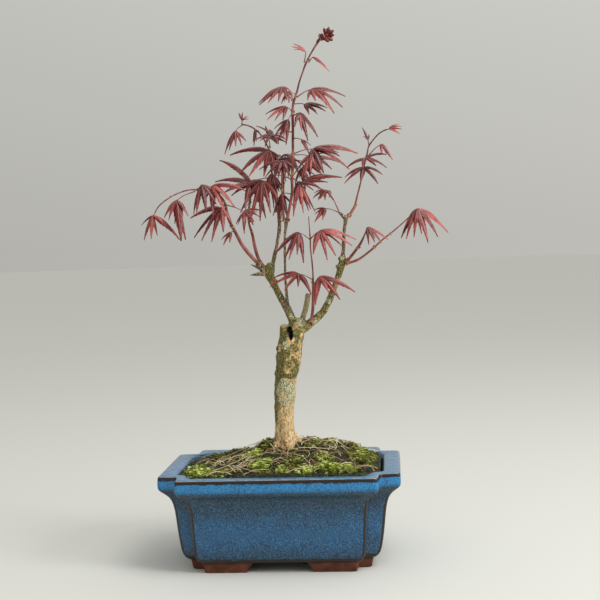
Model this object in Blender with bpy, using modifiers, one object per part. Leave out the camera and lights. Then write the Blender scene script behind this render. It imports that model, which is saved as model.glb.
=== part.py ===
"""A young Japanese maple grown as a bonsai in a blue-glazed rectangular pot with stepped corners.

All lengths below are millimetres in the pot's own frame: X to the right, Y to the back, Z up,
with the pot's centre over 0, 0 and the bottom of its feet at Z = 0. The builders turn them into
metres, and one parent empty shifts the whole thing so that its footprint is centred on the origin.
"""
import math

import bmesh
import bpy
from mathutils import Vector

MM = 0.001
GAP = 0.3                    # clearance kept between pieces that touch
CURVE_GAP = 0.4              # the same round curved pieces, whose facets cut across it
WELD = 1e-6                  # metres, for joining loose end caps to their tubes

# ---------------------------------------------------------------- driving dimensions
POT_SHIFT = (-18.5, 0.0, 0.0)    # pot centre seen from the middle of the whole footprint

RIM_HEIGHT = 82.0
RIM_HALF = (102.5, 75.0)     # half width and half depth over the rim
WALL_HALF = (88.4, 63.0)     # the same, halfway down the wall
FOOT_HEIGHT = 9.0
FLOOR_TOP = 16.0
CORNER_STEPS = 2             # straight pieces in each rounded corner of the pot

DRAIN_X = 38.0
DRAIN_RADIUS = 8.0
MESH_SIZE = 30.0
MESH_THICKNESS = 0.8
MESH_CELLS = 7

BLADE_THICKNESS = 0.6
PETIOLE_RADIUS = 0.55
PETIOLE_BEND = (0.45, 0.06)  # where along a petiole it bends, and by how much of its length

# ---------------------------------------------------------------- scene, materials, mesh helpers
for leftover in list(bpy.data.objects):
    bpy.data.objects.remove(leftover, do_unlink=True)

parts = bpy.data.collections.new("bonsai_in_pot")
guides = bpy.data.collections.new("cutters_and_guides")
bpy.context.scene.collection.children.link(parts)
bpy.context.scene.collection.children.link(guides)

root = bpy.data.objects.new("bonsai", None)
root.location = Vector(POT_SHIFT) * MM
parts.objects.link(root)


def material(name, colour, roughness, metallic=0.0):
    mat = bpy.data.materials.new(name)
    mat.use_nodes = True
    shader = mat.node_tree.nodes["Principled BSDF"]
    shader.inputs["Base Color"].default_value = (*colour, 1.0)
    shader.inputs["Roughness"].default_value = roughness
    shader.inputs["Metallic"].default_value = metallic
    return mat


BLUE_GLAZE = material("blue_glaze", (0.05, 0.17, 0.42), 0.22)
BLACK_PLASTIC = material("black_plastic_mesh", (0.02, 0.02, 0.02), 0.6)
SOIL = material("bonsai_soil", (0.045, 0.03, 0.02), 0.95)
MOSS = material("cushion_moss", (0.14, 0.26, 0.03), 0.95)
BARK = material("maple_bark", (0.30, 0.22, 0.11), 0.85)
RED_BARK = material("young_red_bark", (0.33, 0.07, 0.045), 0.55)
RED_LEAF = material("red_maple_leaf", (0.22, 0.025, 0.03), 0.5)


def place(obj, mat, visible=True):
    """Puts an object under the parent empty as a part, or aside as a cutter or guide."""
    obj.parent = root
    if visible:
        parts.objects.link(obj)
        obj.data.materials.append(mat)
    else:
        guides.objects.link(obj)
        obj.hide_render = True
        obj.display_type = "WIRE"
    return obj


def mesh_object(name, bm, mat=None, visible=True):
    bmesh.ops.scale(bm, vec=(MM, MM, MM), verts=bm.verts)
    mesh = bpy.data.meshes.new(name)
    bm.to_mesh(mesh)
    bm.free()
    return place(bpy.data.objects.new(name, mesh), mat, visible)


def boolean(target, other, operation, folded=False):
    """Cuts or joins another object; folded says that the target's own faces may cross."""
    cut = target.modifiers.new(f"{operation.lower()}_{other.name}", "BOOLEAN")
    cut.operation = operation
    cut.object = other
    cut.use_self = folded


def tube(name, route, mat=None, visible=True, extra=0.0, resolution=2):
    """A round, tapering stem through (x, y, z, radius) points, as a closed mesh."""
    curve = bpy.data.curves.new(name, "CURVE")
    curve.dimensions = "3D"
    curve.bevel_depth = MM
    curve.bevel_resolution = resolution
    curve.use_fill_caps = True
    spline = curve.splines.new("POLY")
    spline.points.add(len(route) - 1)
    for point, (x, y, z, radius) in zip(spline.points, route):
        point.co = (x * MM, y * MM, z * MM, 1.0)
        point.radius = radius + extra
    rod = bpy.data.objects.new(name, curve)
    bpy.context.scene.collection.objects.link(rod)
    view = bpy.context.evaluated_depsgraph_get()
    mesh = bpy.data.meshes.new_from_object(rod.evaluated_get(view))
    bpy.data.objects.remove(rod)
    bpy.data.curves.remove(curve)
    bm = bmesh.new()
    bm.from_mesh(mesh)
    bmesh.ops.remove_doubles(bm, verts=bm.verts, dist=WELD)
    bm.to_mesh(mesh)
    bm.free()
    mesh.name = name
    mesh.materials.clear()
    mesh.shade_smooth()
    return place(bpy.data.objects.new(name, mesh), mat, visible)


def ellipsoid(name, centre, half, mat=None, visible=True, segments=12, rings=7):
    bm = bmesh.new()
    bmesh.ops.create_uvsphere(bm, u_segments=segments, v_segments=rings, radius=1.0)
    bmesh.ops.scale(bm, vec=half, verts=bm.verts)
    bmesh.ops.translate(bm, vec=centre, verts=bm.verts)
    return mesh_object(name, bm, mat, visible)


# ---------------------------------------------------------------- pot
def stepped_outline(half_x, half_y, step_x, step_y, depth, rounding=3.0, steps=CORNER_STEPS):
    """A rectangle with stepped corners, anticlockwise: depth 1 is a square step, 0.5 a chamfer."""
    corner = [(half_x, half_y - step_y),
              (half_x - depth * step_x, half_y - depth * step_y),
              (half_x - step_x, half_y)]
    corners = []
    for sign_x, sign_y in ((1, 1), (-1, 1), (-1, -1), (1, -1)):
        quadrant = [Vector((x * sign_x, y * sign_y)) for x, y in corner]
        corners += quadrant if sign_x == sign_y else quadrant[::-1]
    outline = []
    for i, here in enumerate(corners):
        before = (corners[i - 1] - here).normalized() * rounding
        after = (corners[(i + 1) % len(corners)] - here).normalized() * rounding
        for k in range(steps + 1):
            t = k / steps
            outline.append(here + before * (1 - t) ** 2 + after * t ** 2)
    return outline


def loft(rings, close_bottom=True, close_top=True):
    """Skins a list of (outline, height) rings, listed so that the faces look outwards."""
    bm = bmesh.new()
    loops = [[bm.verts.new((p.x, p.y, z)) for p in outline] for outline, z in rings]
    for low, high in zip(loops, loops[1:]):
        for i in range(len(low)):
            j = (i + 1) % len(low)
            bm.faces.new((low[i], low[j], high[j], high[i]))
    if close_bottom:
        bm.faces.new(loops[0][::-1])
    if close_top:
        bm.faces.new(loops[-1])
    return bm


# height, half width, half depth, corner step in X and in Y, from the foot line up to the rim
OUTER_WALL = (
    (FOOT_HEIGHT, 80.0, 59.5, 12.5, 14.0),
    (13.0, 84.0, 61.6, 13.2, 15.0),
    (20.0, 86.2, 62.4, 14.0, 15.5),
    (35.0, WALL_HALF[0], WALL_HALF[1], 15.4, 16.5),
    (53.0, 90.6, 64.4, 16.6, 18.0),
    (61.0, 93.4, 66.8, 17.2, 19.0),
    (66.5, 98.6, 71.6, 18.0, 20.5),
    (70.0, 101.8, 74.4, 18.5, 21.0),
    (76.0, RIM_HALF[0] + 0.5, RIM_HALF[1] + 0.3, 18.5, 21.0),
    (81.0, RIM_HALF[0], RIM_HALF[1], 18.5, 21.0),
    (RIM_HEIGHT, RIM_HALF[0] - 1.0, RIM_HALF[1] - 1.0, 18.5, 21.0),
)
# the same for the chamfered opening, from the rim down to the floor
INNER_WALL = (
    (RIM_HEIGHT, 88.5, 61.0, 18.0, 21.0),
    (80.5, 87.5, 60.0, 18.0, 21.0),
    (62.0, 84.5, 57.5, 22.0, 24.0),
    (35.0, 81.0, 55.5, 24.0, 26.0),
    (FLOOR_TOP, 76.5, 53.0, 24.0, 26.0),
)
STEP_DEPTH = 0.92            # how square the corner steps are outside
CHAMFER_DEPTH = 0.48         # how square they are inside: just off a straight chamfer
FOOT_STEP = (12.5, 14.0)     # corner step of the ring of feet in X and Y
FRONT_ARCHWAY = (90.0, 32.5, 22.5)    # half length, half width low down and half width at the top
SIDE_ARCHWAY = (110.0, 25.0, 18.0)
ARCHWAY_BOTTOM = -5.0


def foot_ring():
    outer = stepped_outline(76.5, 57.5, *FOOT_STEP, STEP_DEPTH)
    outer_top = stepped_outline(78.5, 59.0, *FOOT_STEP, STEP_DEPTH)
    inner = stepped_outline(66.5, 47.5, *FOOT_STEP, STEP_DEPTH)
    top = FOOT_HEIGHT + 1.0
    ring = loft([(outer, 0.0), (outer_top, top), (inner, top), (inner, 0.0)], False, False)
    count = len(outer)
    ring.verts.ensure_lookup_table()
    bottom_outer = ring.verts[:count]
    bottom_inner = ring.verts[3 * count:]
    for i in range(count):
        j = (i + 1) % count
        ring.faces.new((bottom_inner[i], bottom_inner[j], bottom_outer[j], bottom_outer[i]))
    return mesh_object("foot_ring", ring, visible=False)


def archway(name, length, low_half, high_half, along_x):
    """The trapezoid tunnel that leaves separate feet, wider at the ground."""
    bm = bmesh.new()
    bmesh.ops.create_cube(bm, size=1.0)
    for v in bm.verts:
        low = v.co.z < 0
        half = low_half if low else high_half
        across = half if v.co.x > 0 else -half
        run = length if v.co.y > 0 else -length
        z = ARCHWAY_BOTTOM if low else FOOT_HEIGHT
        v.co = Vector((run, -across, z)) if along_x else Vector((across, run, z))
    return mesh_object(name, bm, visible=False)


def make_pot():
    outer = [(stepped_outline(*row[1:], STEP_DEPTH), row[0]) for row in OUTER_WALL]
    inner = [(stepped_outline(*row[1:], CHAMFER_DEPTH), row[0]) for row in INNER_WALL]
    pot = mesh_object("pot", loft(outer + inner), BLUE_GLAZE)
    feet = foot_ring()
    boolean(feet, archway("front_archway", *FRONT_ARCHWAY, along_x=False), "DIFFERENCE")
    boolean(feet, archway("side_archway", *SIDE_ARCHWAY, along_x=True), "DIFFERENCE")
    boolean(pot, feet, "UNION")
    for side, sign in (("left", -1), ("right", 1)):
        bm = bmesh.new()
        bmesh.ops.create_cone(bm, cap_ends=True, segments=20, radius1=DRAIN_RADIUS,
                              radius2=DRAIN_RADIUS, depth=30.0)
        bmesh.ops.translate(bm, vec=(sign * DRAIN_X, 0.0, FLOOR_TOP), verts=bm.verts)
        boolean(pot, mesh_object(f"drain_hole_{side}", bm, visible=False), "DIFFERENCE")
    return pot


def drainage_mesh(side, sign):
    """A square of plastic mesh over one drain hole, with every second cell open."""
    bm = bmesh.new()
    bmesh.ops.create_grid(bm, x_segments=MESH_CELLS, y_segments=MESH_CELLS, size=MESH_SIZE / 2)
    cell = MESH_SIZE / MESH_CELLS
    holes = []
    for face in bm.faces:
        column, row = (int((c + MESH_SIZE / 2) // cell) for c in face.calc_center_median()[:2])
        if column % 2 and row % 2:
            holes.append(face)
    bmesh.ops.delete(bm, geom=holes, context="FACES")
    height = FLOOR_TOP + GAP + MESH_THICKNESS / 2
    bmesh.ops.translate(bm, vec=(sign * DRAIN_X, 0.0, height), verts=bm.verts)
    sheet = mesh_object(f"drainage_mesh_{side}", bm, BLACK_PLASTIC)
    solid = sheet.modifiers.new("thickness", "SOLIDIFY")
    solid.thickness = MESH_THICKNESS * MM
    solid.offset = 0.0


# ---------------------------------------------------------------- soil and moss
SOIL_EDGE = 79.0             # height of the soil where it meets the pot
MOUND_TOP = 18.0             # how far the root pad rises above that
MOUND_CENTRE = (14.0, 10.0)
MOUND_SPREAD = (66.0, 44.0)  # how wide the mound is along X and Y
MOUND_RINGS = (0.93, 0.8, 0.62, 0.42, 0.22)   # rings of the soil's top, as shares of its outline
MOSS_SUNK = 5.0              # how far each cushion's middle lies under the soil


def soil_height(x, y):
    along = (x - MOUND_CENTRE[0]) / MOUND_SPREAD[0]
    across = (y - MOUND_CENTRE[1]) / MOUND_SPREAD[1]
    return SOIL_EDGE + MOUND_TOP * math.exp(-along ** 2 - across ** 2)


def make_soil(trunk_socket):
    rings = []
    for height, half_x, half_y, step_x, step_y in INNER_WALL[::-1]:
        if height < SOIL_EDGE:
            fill = stepped_outline(half_x - GAP, half_y - GAP, step_x, step_y, CHAMFER_DEPTH, steps=1)
            rings.append((fill, height + GAP))
    shore = stepped_outline(86.2, 58.8, 19.2, 22.0, CHAMFER_DEPTH, steps=1)
    rings.append((shore, SOIL_EDGE - 3.0))
    bm = loft(rings, close_top=False)
    bm.verts.ensure_lookup_table()
    edge = bm.verts[-len(shore):]
    middle = Vector(MOUND_CENTRE)
    for scale in MOUND_RINGS:
        inner = []
        for p in shore:
            spot = middle + (p - middle) * scale
            inner.append(bm.verts.new((spot.x, spot.y, soil_height(spot.x, spot.y))))
        for i in range(len(inner)):
            j = (i + 1) % len(inner)
            bm.faces.new((edge[i], edge[j], inner[j], inner[i]))
        edge = inner
    peak = bm.verts.new((middle.x, middle.y, soil_height(middle.x, middle.y)))
    for i in range(len(edge)):
        bm.faces.new((edge[i], edge[(i + 1) % len(edge)], peak))
    bmesh.ops.triangulate(bm, faces=[f for f in bm.faces if len(f.verts) == 4])
    soil = mesh_object("soil", bm, SOIL)

    above = bpy.data.objects.new("soil_raised", soil.data.copy())
    above.location.z = CURVE_GAP * MM
    place(above, None, visible=False)

    boolean(soil, trunk_socket, "DIFFERENCE")
    for side, sign in (("left", -1), ("right", 1)):
        pocket = bmesh.new()
        bmesh.ops.create_cube(pocket, size=1.0)
        wide = MESH_SIZE + 2 * GAP
        tall = 2 * (MESH_THICKNESS + GAP)
        bmesh.ops.scale(pocket, vec=(wide, wide, tall), verts=pocket.verts)
        centre = (sign * DRAIN_X, 0.0, FLOOR_TOP + GAP)
        bmesh.ops.translate(pocket, vec=centre, verts=pocket.verts)
        boolean(soil, mesh_object(f"mesh_pocket_{side}", pocket, visible=False), "DIFFERENCE")
    return above


# name, centre, half length, half depth, height over the soil
MOSS_CUSHIONS = (
    ("moss_front_left", (-64.0, -34.0), 17.0, 11.0, 5.0),
    ("moss_back_left", (-52.0, 26.0), 22.0, 14.0, 4.0),
    ("moss_front_middle", (-14.0, -34.0), 12.0, 9.0, 4.5),
    ("moss_front_right", (50.0, -42.0), 20.0, 9.0, 4.5),
    ("moss_right", (68.0, 2.0), 13.0, 16.0, 5.0),
)


def make_moss(soil_raised):
    for name, (x, y), half_x, half_y, rise in MOSS_CUSHIONS:
        centre = (x, y, soil_height(x, y) - MOSS_SUNK)
        half = (half_x, half_y, rise + MOSS_SUNK)
        cushion = ellipsoid(name, centre, half, MOSS, segments=16, rings=8)
        boolean(cushion, soil_raised, "DIFFERENCE")


# ---------------------------------------------------------------- old wood: x, y, z, radius
TRUNK_AXIS = (
    (2.0, 0.0, 68.0, 13.0), (2.0, 0.0, 84.0, 12.6), (2.2, 0.0, 94.0, 11.2), (2.6, 0.0, 102.0, 9.4),
    (2.3, 0.0, 112.0, 8.2), (2.1, 0.0, 123.0, 7.9), (2.7, 0.0, 136.0, 8.2), (4.0, 0.0, 150.0, 8.7),
    (5.2, 0.0, 161.0, 9.1), (7.4, 0.0, 171.0, 10.1), (8.4, 0.0, 181.0, 10.4), (10.2, 0.0, 190.0, 10.0),
    (13.8, 0.0, 198.0, 8.6), (17.0, 0.0, 204.0, 6.6),
)
SOCKET_POINTS = 6            # how many of those points the soil makes room for
PRUNING_STUB = ((6.4, -1.0, 186.0, 4.6), (5.2, -1.5, 195.0, 4.7), (5.0, -2.0, 201.5, 4.0))
CUT_BRANCH = (
    (19.0, 1.0, 200.0, 3.4), (21.5, 1.6, 210.0, 2.5), (24.6, 2.2, 220.0, 2.6), (27.0, 2.8, 231.0, 2.4),
)
LEFT_LIMB = (
    (11.5, 0.0, 197.0, 4.6), (12.4, 0.0, 206.0, 3.6), (8.2, -0.5, 218.0, 3.6), (2.8, -1.0, 228.0, 3.1),
    (-1.0, -1.5, 236.0, 3.0), (-3.6, -2.0, 242.5, 3.4), (-6.4, -2.0, 248.0, 4.0), (-6.6, -2.0, 253.0, 4.2),
    (-6.0, -1.5, 257.0, 3.2),
)
RIGHT_LIMB = (
    (17.0, 0.0, 199.0, 5.4), (26.0, 0.5, 204.0, 4.2), (33.0, 1.0, 209.0, 3.6), (39.0, 1.5, 214.5, 3.1),
    (43.3, 2.0, 221.0, 3.0), (46.8, 2.5, 228.5, 2.9), (49.5, 3.0, 235.0, 2.7), (51.7, 3.0, 240.5, 2.6),
    (54.0, 3.5, 247.0, 2.8), (56.0, 4.0, 253.5, 3.3), (58.0, 4.2, 259.0, 3.0),
)
GREY_BRANCH = (
    (57.6, 4.2, 256.0, 2.2), (58.0, 4.5, 264.0, 1.8), (58.8, 5.0, 271.0, 1.6), (59.7, 5.5, 283.0, 1.6),
    (61.0, 6.0, 292.0, 1.7), (61.6, 6.0, 297.0, 2.4),
)
LEAF_SPUR = ((61.0, 6.0, 295.5, 1.7), (58.6, 5.0, 298.6, 1.5), (56.2, 4.0, 301.0, 1.1))
BROWN_BRANCH = (
    (-4.6, -1.5, 251.0, 2.6), (-3.3, 0.0, 259.0, 1.9), (-0.5, 2.0, 270.0, 1.7), (1.3, 4.0, 279.0, 1.5),
    (2.8, 6.0, 288.0, 1.9), (3.0, 8.0, 296.0, 1.8), (3.3, 9.0, 302.5, 2.5),
)
THIN_BRANCH = (
    (9.6, -1.0, 213.0, 2.0), (8.5, -3.6, 226.0, 1.5), (8.0, -5.0, 238.0, 1.3), (7.7, -6.0, 250.0, 1.2),
    (8.6, -8.0, 279.5, 1.25), (9.6, -8.6, 288.0, 1.4), (10.4, -9.0, 293.5, 1.9),
)
DEAD_TWIG = (
    (-7.0, -2.0, 249.6, 2.3), (-15.0, -3.0, 249.6, 1.8), (-20.0, -3.5, 249.2, 1.2), (-23.5, -4.0, 249.0, 0.6),
)
DEAD_SPUR = (
    (-8.0, -1.5, 250.5, 2.2), (-12.0, -2.2, 252.6, 1.8), (-17.0, -3.4, 255.4, 0.9), (-22.5, -5.0, 258.4, 0.5),
)

OLD_WOOD = {
    "pruning_stub": PRUNING_STUB, "cut_branch": CUT_BRANCH, "left_limb": LEFT_LIMB,
    "right_limb": RIGHT_LIMB, "grey_branch": GREY_BRANCH, "leaf_spur": LEAF_SPUR,
    "brown_branch": BROWN_BRANCH, "thin_branch": THIN_BRANCH, "dead_twig": DEAD_TWIG,
    "dead_spur": DEAD_SPUR,
}


def make_trunk():
    """Trunk, limbs, stubs and last year's branches: one piece of wood."""
    trunk = tube("trunk", TRUNK_AXIS, BARK, resolution=4)
    for name, route in OLD_WOOD.items():
        boolean(trunk, tube(f"wood_{name}", route, visible=False), "UNION")


# ---------------------------------------------------------------- this year's shoots: x, y, z, radius
SHOOTS = {
    "shoot_left_outer": (
        (-16.5, -6.0, 259.8, 1.9), (-21.0, -8.0, 265.0, 2.2), (-28.3, -10.0, 275.0, 2.1),
        (-34.5, -12.5, 288.0, 1.9), (-39.0, -14.5, 298.0, 1.7), (-40.5, -16.0, 306.0, 1.5),
        (-41.5, -17.0, 312.0, 1.4), (-46.0, -19.0, 319.0, 1.3), (-54.0, -21.0, 322.5, 1.2),
        (-63.0, -22.5, 324.0, 1.2), (-70.0, -24.0, 324.3, 0.9), (-76.0, -26.0, 323.0, 0.8),
        (-82.5, -28.0, 320.5, 0.7), (-89.6, -30.0, 316.5, 0.7), (-96.0, -31.0, 311.5, 0.7),
        (-99.8, -31.4, 306.5, 0.7),
    ),
    "shoot_left_inner": (
        (-12.8, 0.8, 257.6, 1.8), (-16.6, 3.0, 264.0, 2.0), (-19.5, 6.0, 274.0, 1.9),
        (-21.5, 9.0, 284.0, 1.6), (-24.5, 12.0, 294.0, 1.4), (-25.0, 12.0, 303.0, 1.3),
        (-23.0, 9.0, 312.0, 1.2), (-20.8, 3.0, 321.0, 1.1), (-20.0, -3.5, 326.5, 1.0),
    ),
    "shoot_left_arching": (
        (0.8, 9.4, 306.4, 1.4), (-0.4, 12.0, 318.0, 1.3), (-2.2, 14.0, 332.0, 1.2),
        (-3.6, 15.0, 345.0, 1.1), (-4.6, 15.0, 357.0, 1.0), (-6.6, 15.0, 363.0, 0.9),
        (-10.7, 14.0, 371.0, 0.9), (-15.0, 13.0, 376.0, 0.9), (-19.0, 12.5, 379.0, 0.9),
        (-23.5, 12.0, 381.0, 0.9), (-27.5, 11.0, 381.6, 1.0),
    ),
    "shoot_back": (
        (5.4, 11.2, 306.8, 1.5), (6.4, 13.0, 316.0, 1.5), (6.8, 15.0, 328.0, 1.3),
        (7.6, 16.0, 340.0, 1.2), (9.0, 17.0, 350.0, 1.0),
    ),
    "leader_shoot": (
        (11.6, -9.4, 297.4, 1.7), (13.0, -9.5, 303.5, 1.6), (14.7, -9.0, 311.0, 1.6),
        (16.3, -8.0, 320.0, 1.6), (16.5, -7.0, 330.0, 1.7), (16.8, -6.0, 335.0, 1.9),
        (17.3, -5.0, 345.0, 1.5), (17.8, -4.0, 355.0, 1.5), (18.0, -3.0, 365.0, 1.5),
        (18.3, -2.0, 375.0, 1.6), (18.3, -1.0, 385.0, 1.7), (18.8, 0.0, 395.0, 1.5),
        (20.5, 1.0, 401.0, 1.3), (22.8, 2.0, 408.0, 1.1), (25.0, 2.5, 416.0, 1.0),
        (28.0, 3.0, 424.0, 1.0), (30.6, 3.0, 430.5, 1.2), (35.0, 3.5, 438.8, 1.0),
        (39.4, 4.0, 445.8, 1.1), (42.0, 4.0, 449.5, 1.3),
    ),
    "shoot_centre": (
        (8.6, -12.2, 297.6, 1.3), (8.4, -13.5, 308.0, 1.3), (8.2, -14.5, 320.0, 1.2),
        (8.4, -15.0, 332.0, 1.0), (9.0, -15.0, 342.0, 0.9),
    ),
    "shoot_right": (
        (65.4, 7.0, 299.4, 1.4), (67.4, 7.4, 302.4, 1.6), (69.8, 8.0, 306.5, 1.4),
        (71.0, 8.5, 311.0, 1.1), (72.6, 9.0, 317.0, 1.0), (75.3, 10.0, 326.5, 0.9),
        (77.5, 11.0, 336.0, 0.9), (79.2, 12.0, 343.0, 1.0), (80.4, 12.5, 347.0, 1.1),
        (82.0, 14.0, 353.0, 0.9), (83.4, 14.6, 358.5, 0.9), (87.0, 13.0, 363.4, 0.8),
        (92.0, 10.4, 368.4, 0.8), (96.0, 8.8, 370.8, 0.8), (99.0, 8.0, 371.8, 0.8),
    ),
    "shoot_right_low": (
        (63.2, 0.8, 259.8, 1.5), (65.8, -0.4, 263.0, 1.7), (69.5, -2.2, 267.5, 1.6),
        (73.7, -4.4, 273.0, 1.5), (77.0, -6.4, 279.0, 1.1), (79.5, -8.2, 284.5, 0.7),
    ),
    "shoot_right_long": (
        (63.0, 5.6, 256.8, 1.4), (69.5, 6.0, 258.7, 1.6), (74.5, 6.4, 261.3, 1.4),
        (81.0, 7.6, 266.0, 1.3), (86.0, 8.6, 270.0, 1.4), (90.5, 9.5, 274.0, 1.1),
        (95.0, 10.2, 277.7, 0.9), (101.0, 11.2, 282.0, 0.8), (110.5, 12.5, 289.6, 0.8),
        (116.5, 13.0, 294.8, 0.7), (122.0, 13.3, 299.3, 0.7),
    ),
    "shoot_middle": (
        (29.6, -5.6, 209.6, 1.7), (31.0, -6.6, 219.0, 1.8), (31.7, -8.4, 229.5, 1.7),
        (32.1, -10.0, 242.0, 1.3), (32.3, -11.4, 249.0, 1.0), (32.0, -14.0, 259.5, 0.9),
        (31.2, -16.2, 271.0, 0.8), (31.4, -18.0, 279.0, 0.8), (31.0, -19.5, 289.5, 0.6),
        (30.8, -20.2, 298.0, 0.5),
    ),
}


def make_shoots():
    for name, route in SHOOTS.items():
        tube(name, route, RED_BARK)


# The unopened terminal bud: centre and half sizes of each closed leaflet bundle.
BUD_SCALES = (
    ((44.8, 4.0, 454.0), (2.4, 2.2, 3.0)),
    ((47.6, 4.2, 455.2), (3.4, 3.0, 3.2)),
    ((51.3, 3.4, 452.2), (4.4, 3.8, 4.4)),
    ((51.6, 4.6, 459.0), (4.2, 3.8, 3.6)),
)


def make_bud():
    (centre, half), *rest = BUD_SCALES
    bud = ellipsoid("terminal_bud", centre, half, RED_LEAF, segments=10, rings=6)
    for i, (centre, half) in enumerate(rest, start=1):
        scale = ellipsoid(f"bud_scale_{i}", centre, half, visible=False, segments=10, rings=6)
        boolean(bud, scale, "UNION")


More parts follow.
